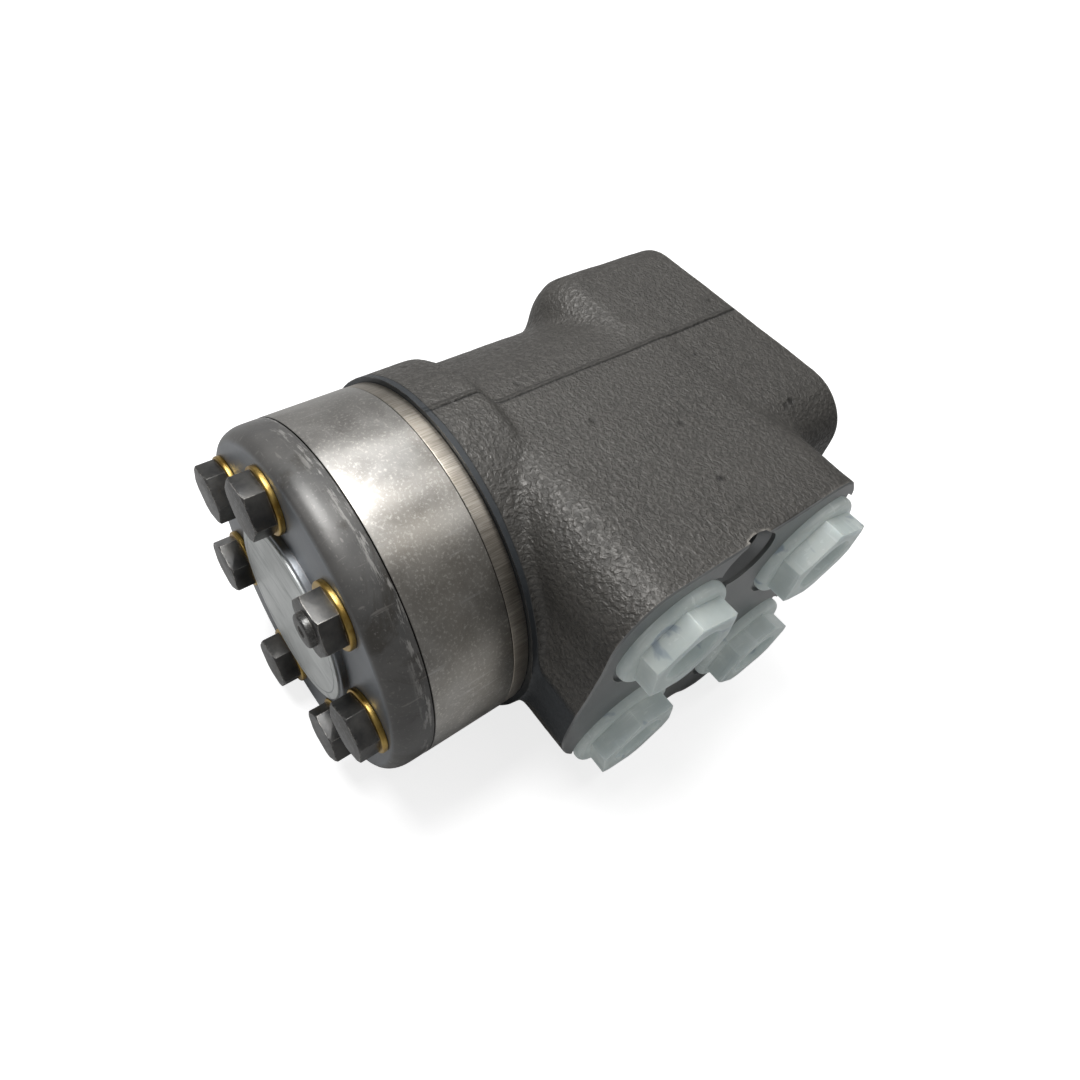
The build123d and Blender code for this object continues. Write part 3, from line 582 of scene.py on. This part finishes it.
gear_steel = plain_finish("gear_steel", (0.42, 0.41, 0.39), (0.60, 0.59, 0.57), 0.28)
valve_steel = plain_finish("valve_steel", (0.34, 0.34, 0.34), (0.52, 0.52, 0.51), 0.24)
bearing_steel = plain_finish("bearing_steel", (0.50, 0.50, 0.49), (0.68, 0.68, 0.66), 0.18)
spring_steel = plain_finish("spring_steel", (0.16, 0.18, 0.22), (0.30, 0.31, 0.34), 0.30)
turned_steel = plain_finish("turned_steel", (0.40, 0.38, 0.35), (0.56, 0.54, 0.51), 0.34)
cage_steel = plain_finish("cage_steel", (0.30, 0.29, 0.27), (0.46, 0.45, 0.42), 0.36)
rubber_dark, rubber_light = (0.012, 0.012, 0.013), (0.030, 0.030, 0.031)
seal_rubber = plain_finish("seal_rubber", rubber_dark, rubber_light, 0.55, 400.0, 0.0)
print("materials", len(bpy.data.materials))

# %% [markdown]
# ## Mesh helpers
# Turned parts are spun from a half-section. Every part is drawn in its own small frame with
# its axis on local Z, and `on_axis` or `out_of_port` carries it to its place. A finished
# piece keeps its object at the origin, so the place is in its mesh.
#
# Cuts are made with the Boolean modifier, whose result is then stored in the mesh.

# %% Places of pieces
main_axis = Matrix(((1, 0, 0), (0, 0, -1), (0, 1, 0))).to_4x4()
port_axis = Matrix(((0, 0, 1), (1, 0, 0), (0, 1, 0))).to_4x4()


def on_axis(x=0.0, z=0.0):
    """From a part's own frame to the main axis: local Z runs away from the column."""
    return Matrix.Translation((x, 0, z)) @ main_axis


def out_of_port(depth, z):
    """From a part's own frame to a port: local Z points out of the port face."""
    return Matrix.Translation((0, -depth, z)) @ port_axis


def ring_of(count, radius, first=0.0):
    """Places (x, z) spread evenly on a circle round the main axis, the first at an angle."""
    turns = [2 * pi * n / count + radians(first) for n in range(count)]
    return [(radius * cos(turn), radius * sin(turn)) for turn in turns]


# %% Shapes
def straight(inner, outer, start, end):
    """The half-section of a straight rod or tube."""
    return [(inner, start), (outer, start), (outer, end), (inner, end)]


def turned(bm, profile, steps=96, place=None):
    """Spin a closed half-section of (radius, height) pairs about local Z."""
    corners = [bm.verts.new((radius, 0, height)) for radius, height in profile]
    sides = [bm.edges.new(pair) for pair in zip(corners, corners[1:])]
    if profile[0][0] or profile[-1][0]:
        sides.append(bm.edges.new((corners[-1], corners[0])))
    bmesh.ops.spin(
        bm, geom=corners + sides, cent=(0, 0, 0), axis=(0, 0, 1), dvec=(0, 0, 0),
        angle=2 * pi, steps=steps, use_merge=True, use_duplicate=False,
    )
    bmesh.ops.remove_doubles(bm, verts=bm.verts, dist=1e-4)
    bmesh.ops.recalc_face_normals(bm, faces=bm.faces)
    if place is not None:
        bmesh.ops.transform(bm, matrix=place, verts=bm.verts)


def round_edges(bm, edges, rounding, segments):
    """Round some edges of a mesh."""
    bmesh.ops.bevel(
        bm, geom=edges, offset=rounding, segments=segments, profile=0.5,
        affect="EDGES", material=-1, offset_type="OFFSET",
    )


def round_rims(bm, rims, segments=4):
    """Round the circular edges at the given (radius, height, rounding) of a turned part."""
    for radius, height, rounding in rims:
        rim = [
            e for e in bm.edges
            if all(abs(hypot(v.co.x, v.co.y) - radius) < 0.01 for v in e.verts)
            and all(abs(v.co.z - height) < 0.01 for v in e.verts)
        ]
        round_edges(bm, rim, rounding, segments)


# %% Pieces and cuts
def new_piece(name, bm, material, smooth=35.0):
    """Store a mesh drawn in millimetres as a piece in metres; edges above smooth stay crisp."""
    bmesh.ops.scale(bm, verts=bm.verts, vec=(MM, MM, MM))
    mesh = bpy.data.meshes.new(name)
    bm.to_mesh(mesh)
    bm.free()
    mesh.materials.append(material)
    mesh.shade_smooth()
    mesh.set_sharp_from_angle(angle=radians(smooth))
    made = bpy.data.objects.new(name, mesh)
    bpy.context.scene.collection.objects.link(made)
    return made


def settle(piece, smooth=35.0):
    """Store what the modifiers make of a piece in its mesh."""
    graph = bpy.context.evaluated_depsgraph_get()
    mesh = bpy.data.meshes.new_from_object(piece.evaluated_get(graph))
    piece.modifiers.clear()
    spare = piece.data
    piece.data = mesh
    bpy.data.meshes.remove(spare)
    mesh.shade_smooth()
    mesh.set_sharp_from_angle(angle=radians(smooth))


def carve(piece, cutters, operation="DIFFERENCE", smooth=35.0):
    """Cut, join or intersect a piece with other objects, which are used up."""
    for cutter in cutters:
        cut = piece.modifiers.new("cut", "BOOLEAN")
        cut.object = cutter
        cut.operation = operation
        cut.solver = "EXACT"
        cut.material_mode = "TRANSFER"
    before = len(piece.data.polygons)
    settle(piece, smooth)
    if len(piece.data.polygons) < before / 2:
        raise ValueError(f"{piece.name}: the cut lost most of the piece")
    for cutter in cutters:
        bpy.data.meshes.remove(cutter.data)


def hand_over(piece, engineering_node):
    """Let a finished piece ride on the casing and stand for its engineering node."""
    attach(piece, "casing")
    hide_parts(engineering_node)
    print(piece.name, len(piece.data.polygons), "faces")


# %% [markdown]
# ## The housing
# The casting is one blended lump: a square flange, a round neck, a collar, a port block and
# a rounded foot under the block. Blended lumps are awkward to model face by face. So each
# lump is drawn plainly and all are fused by a voxel remesh. After that the machining is done
# as a workshop does it: the flat faces are planed off, then the holes are cut, crisp.

# %% Sizes of the housing
flange_low, flange_high = (-41.2, -43.4), (44.0, 43.6)  # corners, as (x, z)
flange_depth, flange_corner, flange_back_round = 44.0, 14.2, 11.0
neck_r, neck_start = 43.3, 5.0
collar_r, collar_start, collar_round = 46.35, 84.0, 2.4
port_face = 60.8
foot_place, foot_r, foot_root = (35.0, -32.5), 14.0, 30.0
spare_metal = 2.5                  # left on the faces, planed off later
cast_end = housing_length + spare_metal
block_low, block_high = -40.0, 44.0
block_start, block_top_end, block_end = 15.5, 96.4, 99.6
block_bulge = [(block_top_end, 22.0), (97.6, 12.0), (99.0, 5.0)]
block_corner = 14.0
block_sweep = 36.5                 # the large lower corner by the collar


# %% Flange
def box_between(bm, low, high):
    """A cube stretched between two corners."""
    size = [b - a for a, b in zip(low, high)]
    middle = [(a + b) / 2 for a, b in zip(low, high)]
    made = bmesh.ops.create_cube(bm, size=1.0)["verts"]
    bmesh.ops.scale(bm, verts=made, vec=size)
    bmesh.ops.translate(bm, verts=made, vec=middle)


raw = bmesh.new()
box_between(
    raw,
    (flange_low[0], -flange_depth, flange_low[1]),
    (flange_high[0], spare_metal, flange_high[1]),
)
long_edges = [e for e in raw.edges if abs(e.verts[0].co.y - e.verts[1].co.y) > 1.0]
round_edges(raw, long_edges, flange_corner, 8)
back_rim = [e for e in raw.edges if all(v.co.y < -flange_depth + 0.01 for v in e.verts)]
round_edges(raw, back_rim, flange_back_round, 8)
print("flange", len(raw.faces), "faces")

# %% [markdown]
# The port block is an outline of arcs, seen from the port side, that is raised along X. Its
# four corners differ: the lower one next to the collar is a wide sweep, and the edge above it
# bulges a little.

# %% Port block
def arc(x, y, radius, start, end, steps=12):
    """Points on an arc between two angles in degrees."""
    turns = [radians(start + (end - start) * n / steps) for n in range(steps + 1)]
    return [(x + radius * cos(turn), y + radius * sin(turn)) for turn in turns]


near_x, far_x = block_start + block_corner, block_top_end - block_corner
low_z, high_z = block_low + block_corner, block_high - block_corner
outline = arc(far_x, high_z, block_corner, 90, 0) + block_bulge
outline += arc(block_end - block_sweep, block_low + block_sweep, block_sweep, 0, -90)
outline += arc(near_x, low_z, block_corner, -90, -180)
outline += arc(near_x, high_z, block_corner, 180, 90)
block = bmesh.new()
face = block.faces.new([block.verts.new((0, -depth, z)) for depth, z in outline])
raised = bmesh.ops.extrude_face_region(block, geom=[face])["geom"]
top = [g for g in raised if isinstance(g, bmesh.types.BMVert)]
bmesh.ops.translate(block, verts=top, vec=(port_face + spare_metal, 0, 0))
bmesh.ops.recalc_face_normals(block, faces=block.faces)
print("port block outline", len(outline), "points")

# %% Round lumps, and all fused
neck = bmesh.new()
turned(neck, straight(0, neck_r, neck_start, cast_end), 144, on_axis())
collar = bmesh.new()
turned(collar, straight(0, collar_r, collar_start, cast_end), 144)
round_rims(collar, [(collar_r, collar_start, collar_round)], 5)
bmesh.ops.transform(collar, matrix=on_axis(), verts=collar.verts)
foot = bmesh.new()
foot_profile = straight(0, foot_r, foot_root, port_face + spare_metal)
turned(foot, foot_profile, 64, out_of_port(*foot_place))
for lump in (block, neck, collar, foot):
    spare = bpy.data.meshes.new("lump")
    lump.to_mesh(spare)
    lump.free()
    raw.from_mesh(spare)
    bpy.data.meshes.remove(spare)
housing = new_piece("housing_casting", raw, cast_iron, smooth=180.0)
fuse = housing.modifiers.new("fuse", "REMESH")
fuse.mode = "VOXEL"
fuse.voxel_size = 0.85 * MM
fuse.use_smooth_shade = True
settle(housing, 180.0)
print("raw casting", len(housing.data.polygons), "faces")

# %% [markdown]
# The remesh leaves sharp valleys where two lumps meet, but a casting has fillets there.
# Smoothing the vertices of those zones many times makes them. Then every vertex moves a
# little along its normal by two noises, since no sand mould is quite even.

# %% Fillets of the casting
rounds = 40
fillet_zones = [                   # depth from and to, least x, share of the rounds
    (3, 21, 36, 1.0),              # block to flange
    (36, 55, -100, 1.0),           # flange to neck
    (74, 85.5, -100, 0.12),        # neck to collar
]
fine_height, fine_size = 0.05, 2.0
wide_height, wide_size = 0.2, 12.0
sunk = 0.1                         # so that no swelling stands proud of the engineering model


def relax(bm, verts, rounds):
    """Smooth some vertices a number of times."""
    for _ in range(rounds):
        bmesh.ops.smooth_vert(
            bm, verts=verts, factor=0.5, use_axis_x=True, use_axis_y=True, use_axis_z=True,
        )


bm = bmesh.new()
bm.from_mesh(housing.data)
for start, end, least_x, share in fillet_zones:
    zone = [
        v for v in bm.verts if -end * MM < v.co.y < -start * MM and v.co.x > least_x * MM
    ]
    relax(bm, zone, int(rounds * share))
    print("fillet zone", start, "to", end, "mm:", len(zone), "vertices")
relax(bm, bm.verts, 3)
bm.normal_update()
for v in bm.verts:
    uneven = fine_height * noise_at(v.co / MM / fine_size)
    uneven += wide_height * noise_at(v.co / MM / wide_size)
    v.co += v.normal * MM * (uneven - sunk)


# %% Planed faces
def plane_off(bm, point, normal, edge=0.0):
    """Cut off what is beyond a plane, and close the cut with a flat face, its edge broken."""
    normal = Vector(normal)
    made = bmesh.ops.bisect_plane(
        bm, geom=list(bm.verts) + list(bm.edges) + list(bm.faces), dist=1e-7,
        plane_co=(Vector(point) - edge * normal) * MM, plane_no=normal,
        clear_outer=True, clear_inner=False,
    )
    rim = [g for g in made["geom_cut"] if isinstance(g, bmesh.types.BMVert)]
    bmesh.ops.remove_doubles(bm, verts=rim, dist=0.4 * MM)
    rim = [e for e in bm.edges if e.is_boundary]
    planed = list(bmesh.ops.contextual_create(bm, geom=rim)["faces"])
    if edge:
        planed += bmesh.ops.inset_individual(
            bm, faces=planed, thickness=edge * MM, depth=edge * MM,
        )["faces"]
    for face in planed:
        face.material_index = 1


plane_off(bm, (0, 0, 0), (0, 1, 0))
plane_off(bm, (0, -housing_length, 0), (0, -1, 0))
plane_off(bm, (port_face, 0, 0), (1, 0, 0), 0.4)
bmesh.ops.recalc_face_normals(bm, faces=bm.faces)
bm.to_mesh(housing.data)
bm.free()
housing.data.materials.append(machined_iron)
print("planed casting", len(housing.data.polygons), "faces")

# %% [markdown]
# The holes come next. Each tool is a closed turned solid that reaches a little past the face
# it enters, and all of them carry the machined finish, which the cut leaves on its walls.

# %% Sizes of the holes
spot_face_r, spot_face_x = 16.6, 59.8
port_core_r, port_depth = 9.5, 15.0
port_places = [(75.8, 22.5), (75.8, -22.5), (28.7, 22.5), (28.7, -22.5)]  # depth, z
pilot_place, pilot_r, pilot_length = (57.5, 36.4), 5.9, 12.0
pilot_mouth_r, pilot_mouth_depth = 8.0, 1.0
seal_recess_r, seal_recess_end = 21.0, 5.0
seal_bore_r, seal_bore_end = 14.4, 11.0
valve_bore_r = 19.0
bolt_count, bolt_circle_r = 7, 33.8
bolt_places = ring_of(bolt_count, bolt_circle_r)
bolt_tap_r, bolt_tap_start = 4.0, 84.0
column_circle_r = 41.25
column_places = ring_of(4, column_circle_r, 45)
column_tap_r, column_tap_depth, column_chamfer = 4.25, 16.0, 0.8
drill_point = 2.0
reach, over = 3.0, 2.0             # of large and small tools past a face


# %% Holes of the housing
def tool(name, profile, place, steps=64):
    """A turned cutting tool with the machined finish."""
    bm = bmesh.new()
    turned(bm, profile, steps, place)
    return new_piece(name, bm, machined_iron)


bore = [
    (0, -reach), (seal_recess_r, -reach), (seal_recess_r, seal_recess_end),
    (seal_bore_r, seal_recess_end), (seal_bore_r, seal_bore_end), (valve_bore_r, seal_bore_end),
    (valve_bore_r, housing_length + reach), (0, housing_length + reach),
]
port_root, port_out = spot_face_x - port_depth, port_face + reach
port = [
    (0, port_root), (port_core_r, port_root), (port_core_r, spot_face_x),
    (spot_face_r, spot_face_x), (spot_face_r, port_out), (0, port_out),
]
pilot_root, pilot_mouth = port_face - pilot_length, port_face - pilot_mouth_depth
pilot = [
    (0, pilot_root), (pilot_r, pilot_root), (pilot_r, pilot_mouth - (pilot_mouth_r - pilot_r)),
    (pilot_mouth_r, pilot_mouth), (pilot_mouth_r, port_out), (0, port_out),
]
bolt_tap = [
    (0, bolt_tap_start - drill_point), (bolt_tap_r, bolt_tap_start),
    (bolt_tap_r, housing_length + reach), (0, housing_length + reach),
]
column_tap = [
    (0, -over), (column_tap_r + column_chamfer + over, -over), (column_tap_r, column_chamfer),
    (column_tap_r, column_tap_depth), (0, column_tap_depth + drill_point),
]
tools = [tool("bore", bore, on_axis(), 96)]
tools += [tool("port", port, out_of_port(*place)) for place in port_places]
tools += [tool("pilot", pilot, out_of_port(*pilot_place))]
tools += [tool("bolt_tap", bolt_tap, on_axis(*place), 32) for place in bolt_places]
tools += [tool("column_tap", column_tap, on_axis(*place), 32) for place in column_places]
carve(housing, tools, smooth=40.0)
hand_over(housing, "housing")

# %% [markdown]
# ## The gear set: plate, ring and cover
# These three are turned from bar. The plate and the cover are plain sections spun round the
# main axis; the ring also has seven lobes inside, which are added as cylinders, and all
# three are drilled for the seven bolts. Their outer corners are broken by a hair, as a lathe
# leaves them, and those small edges are what catches the light between the parts.

# %% Plate
plate_r, plate_bore_r = stack_r - 0.1, 13.2
timing_r, timing_circle_r = 2.2, 26.6
bolt_hole_r = 4.3


def disc(name, profile, rims, material):
    """A turned piece on the main axis with some of its rims rounded."""
    bm = bmesh.new()
    turned(bm, profile, 192)
    round_rims(bm, rims)
    bmesh.ops.transform(bm, matrix=on_axis(), verts=bm.verts)
    return new_piece(name, bm, material)


def bolt_drills(start, end):
    """Seven drills through a piece of the gear set."""
    profile = straight(0, bolt_hole_r, start, end)
    return [tool("drill", profile, on_axis(*place), 32) for place in bolt_places]


plate = disc(
    "distributor_disc", straight(plate_bore_r, plate_r, housing_length, plate_end),
    [(plate_r, housing_length, 0.25), (plate_r, plate_end, 0.2)], plate_steel,
)
timing = straight(0, timing_r, housing_length - over, plate_end + over)
timing_places = ring_of(bolt_count, timing_circle_r, 180 / bolt_count)
drills = bolt_drills(housing_length - over, plate_end + over)
drills += [tool("timing", timing, on_axis(*place), 24) for place in timing_places]
carve(plate, drills)
hand_over(plate, "distributor_plate")

# %% Ring
ring_root_r = 30.25
lobe_r, lobe_circle_r, lobe_count = 7.5, 31.0, 7
ring = disc(
    "gear_ring_ground", straight(ring_root_r, stack_r, plate_end, ring_end),
    [(stack_r, plate_end, 0.2), (stack_r, ring_end, 0.3)], ring_steel,
)
lobe = straight(0, lobe_r, plate_end, ring_end)
lobe_places = ring_of(lobe_count, lobe_circle_r)
carve(ring, [tool("lobe", lobe, on_axis(*place), 48) for place in lobe_places], "UNION")
carve(ring, bolt_drills(plate_end - over, ring_end + over))
hand_over(ring, "gear_ring")

# %% Cover and name plate
cover_r, boss_r = stack_r - 0.05, 24.6
crown_in, crown_down = 3.0, 5.2    # half axes of the ellipse that rounds the rim
crown_x, crown_y = cover_r - crown_in, cover_end - crown_down
quarter = [pi / 2 * n / 10 for n in range(11)]
crown = [(crown_x + crown_in * cos(a), crown_y + crown_down * sin(a)) for a in quarter]
cover_profile = [
    (0, ring_end), (cover_r, ring_end), *crown, (boss_r, cover_end), (boss_r, boss_end),
    (0, boss_end),
]
cover = disc(
    "cover_phosphated", cover_profile, [(cover_r, ring_end, 0.3), (boss_r, boss_end, 0.4)],
    phosphate,
)
carve(cover, bolt_drills(ring_end - over, cover_end - 0.1))  # the washers hide the rest
hand_over(cover, "end_cover")

label_r, label_end = 23.3, boss_end + 0.5
name_plate = disc(
    "name_plate_bare", straight(0, label_r, boss_end, label_end),
    [(label_r, label_end, 0.22)], plate_foil,
)
hand_over(name_plate, "name_plate")

# %% [markdown]
# ## Bolts and sealing washers
# A hexagon head is a six-sided prism whose corners are turned off at 30 degrees, so its top
# edge is a row of arcs. The quickest true way to that shape is the workshop's: make the
# prism, make the turned blank, and keep what both share. One bolt carries a round dog.

# %% Heads
bolt_flats, bolt_r = 13.0, 4.0
bolt_length, bolt_point_r, bolt_point = 44.2, 3.6, 0.5
bolt_turns = (27, 59, 5, 17, 40, 8, 50)
crown_r, crown_drop = 6.85, 0.95   # the chamfer: its radius on top, and how far down it runs
dog_number, dog_r, dog_height = 1, 3.9, 1.6
dimple_r, dimple_root_r, dimple_depth = 1.5, 1.1, 0.4


def hexagon(name, flats, low, high, turn, place, material):
    """A six-sided prism."""
    bm = bmesh.new()
    corner = flats / sqrt(3)
    made = bmesh.ops.create_cone(
        bm, cap_ends=True, segments=6, radius1=corner, radius2=corner, depth=high - low,
    )["verts"]
    spun = Matrix.Rotation(radians(turn - 30), 3, "Z")
    bmesh.ops.rotate(bm, verts=made, cent=(0, 0, 0), matrix=spun)
    bmesh.ops.translate(bm, verts=made, vec=(0, 0, (low + high) / 2))
    bmesh.ops.transform(bm, matrix=place, verts=bm.verts)
    return new_piece(name, bm, material)


def soften(piece, width, segments=2):
    """Break the sharp edges of a piece."""
    edge = piece.modifiers.new("edge", "BEVEL")
    edge.width = width * MM
    edge.segments = segments
    edge.limit_method = "ANGLE"
    edge.angle_limit = radians(28)
    settle(piece, 50.0)


def bolt_dog(place):
    """The round dog on a head, with a dimple in its end."""
    bm = bmesh.new()
    end, side_r = head_top + dog_height, dog_r - 0.1
    profile = [
        (0, head_top - 0.5), (dog_r, head_top - 0.5), (side_r, end), (dimple_r, end),
        (dimple_root_r, end - dimple_depth), (0, end - dimple_depth - 0.1),
    ]
    turned(bm, profile, 48)
    round_rims(bm, [(side_r, end, 0.5)], 3)
    bmesh.ops.transform(bm, matrix=place, verts=bm.verts)
    return new_piece("dog", bm, black_oxide)


# %% Bolts
def cover_bolt(number):
    """One bolt of the cover: hexagon head, chamfered crown and shank."""
    place = on_axis(*bolt_places[number])
    name, turn = f"cover_bolt_{number + 1}", bolt_turns[number]
    head = hexagon(name, bolt_flats, head_start, head_top, turn, place, black_oxide)
    wide, above = bolt_flats / sqrt(3) + 1, head_top + 0.01
    blank = [
        (0, head_start - 1), (wide, head_start - 1), (wide, head_top - crown_drop),
        (crown_r, head_top), (crown_r - 0.25, above), (0, above),
    ]
    carve(head, [tool("blank", blank, place, 72)], "INTERSECT")
    soften(head, 0.16)
    tip = head_start - bolt_length
    shank = [
        (0, tip - bolt_point), (bolt_point_r, tip - bolt_point), (bolt_r, tip),
        (bolt_r, head_start + 0.5), (0, head_start + 0.5),
    ]
    carve(head, [tool("shank", shank, place, 32)], "UNION")
    if number == dog_number:
        carve(head, [bolt_dog(place)], "UNION")
    head.data.materials.clear()
    head.data.materials.append(black_oxide)
    return head


for number in range(bolt_count):
    stands_for = "dog_bolt" if number == dog_number else "cover_bolts"
    hand_over(cover_bolt(number), stands_for)

# %% Washers
washer_r, washer_bore_r = 8.0, 4.3
for number, place in enumerate(bolt_places):
    bm = bmesh.new()
    turned(bm, straight(washer_bore_r, washer_r, cover_end, head_start), 72)
    round_rims(bm, [(washer_r, cover_end, 0.35), (washer_r, head_start, 0.45)])
    bmesh.ops.transform(bm, matrix=on_axis(*place), verts=bm.verts)
    washer = new_piece(f"sealing_washer_{number + 1}", bm, gold_zinc)
    hand_over(washer, "sealing_washers")

# %% [markdown]
# ## Port plugs
# The plugs that close the ports for transport are moulded in milky plastic: a round flange
# with a soft rim, a hexagon with a round hollow to turn them by, and a short shank in the
# port. Moulded corners are rounder than cut ones, so the bevel here is wide.

# %% Sizes of the plugs
plug_turns = (42.3, 44.6, 40.4, 20.7)
plug_flats = 23.0
plug_flange_r, plug_shank_r, plug_shank = 15.4, 9.3, 11.0
flange_top = spot_face_x + 3.0
hex_top = flange_top + 5.4
hex_crown_r, hex_crown_drop = 12.1, 2.2
hollow_r, hollow_mouth_r, hollow_depth = 7.2, 8.2, 12.0


# %% Plugs
def port_plug(number):
    """One moulded plug."""
    place = out_of_port(*port_places[number])
    shank_end = spot_face_x - plug_shank
    profile = [
        (0, shank_end), (plug_shank_r - 0.4, shank_end), (plug_shank_r, shank_end + 1),
        (plug_shank_r, spot_face_x), (plug_flange_r, spot_face_x), (plug_flange_r, flange_top),
        (0, flange_top),
    ]
    bm = bmesh.new()
    turned(bm, profile)
    rims = [(plug_flange_r, spot_face_x, 0.8), (plug_flange_r, flange_top, 1.6)]
    round_rims(bm, rims, 6)
    bmesh.ops.transform(bm, matrix=place, verts=bm.verts)
    plug = new_piece(f"plug_{number + 1}", bm, milky_plastic)

    low, turn = flange_top - 0.5, plug_turns[number]
    head = hexagon("plug_head", plug_flats, low, hex_top, turn, place, milky_plastic)
    blank = [
        (0, low - 0.5), (plug_flats, low - 0.5), (plug_flats, hex_top - hex_crown_drop),
        (hex_crown_r, hex_top + 0.01), (0, hex_top + 0.01),
    ]
    carve(head, [tool("blank", blank, place, 96)], "INTERSECT")
    soften(head, 0.5, 3)
    carve(plug, [head], "UNION")
    bottom = hex_top - hollow_depth
    hollow = [
        (0, bottom), (hollow_r, bottom), (hollow_r + 0.4, hex_top - 0.5),
        (hollow_mouth_r, hex_top + 0.2), (0, hex_top + 0.2),
    ]
    carve(plug, [tool("hollow", hollow, place)])
    plug.data.materials.clear()
    plug.data.materials.append(milky_plastic)
    return plug


for number in range(len(port_places)):
    hand_over(port_plug(number), f"port_plug_{number + 1}")

# %% [markdown]
# ## Inner pieces
# The valve, the bearing, the springs and the shafts inside already have the right shape in
# the engineering model. They stay as they are, and only get their finish.

# %% Finishes of the inner pieces
finishes = {
    "rotor": gear_steel, "drive_shaft": gear_steel, "spacer_disc": turned_steel,
    "sleeve": valve_steel, "spool": valve_steel, "cross_pin": bearing_steel,
    "spring_ring": turned_steel, "centring_springs": spring_steel,
    "bearing_outer_race": bearing_steel, "bearing_inner_race": bearing_steel,
    "bearing_needles": bearing_steel, "needle_cage": cage_steel,
    "check_bush": turned_steel, "check_ball": bearing_steel,
    "o_ring_housing": seal_rubber, "o_ring_plate": seal_rubber, "o_ring_cover": seal_rubber,
    "dust_seal": seal_rubber, "shaft_seal": seal_rubber,
}
for name, finish in finishes.items():
    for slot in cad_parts[name].material_slots:
        slot.material = finish
print("finished", len(finishes), "engineering pieces")
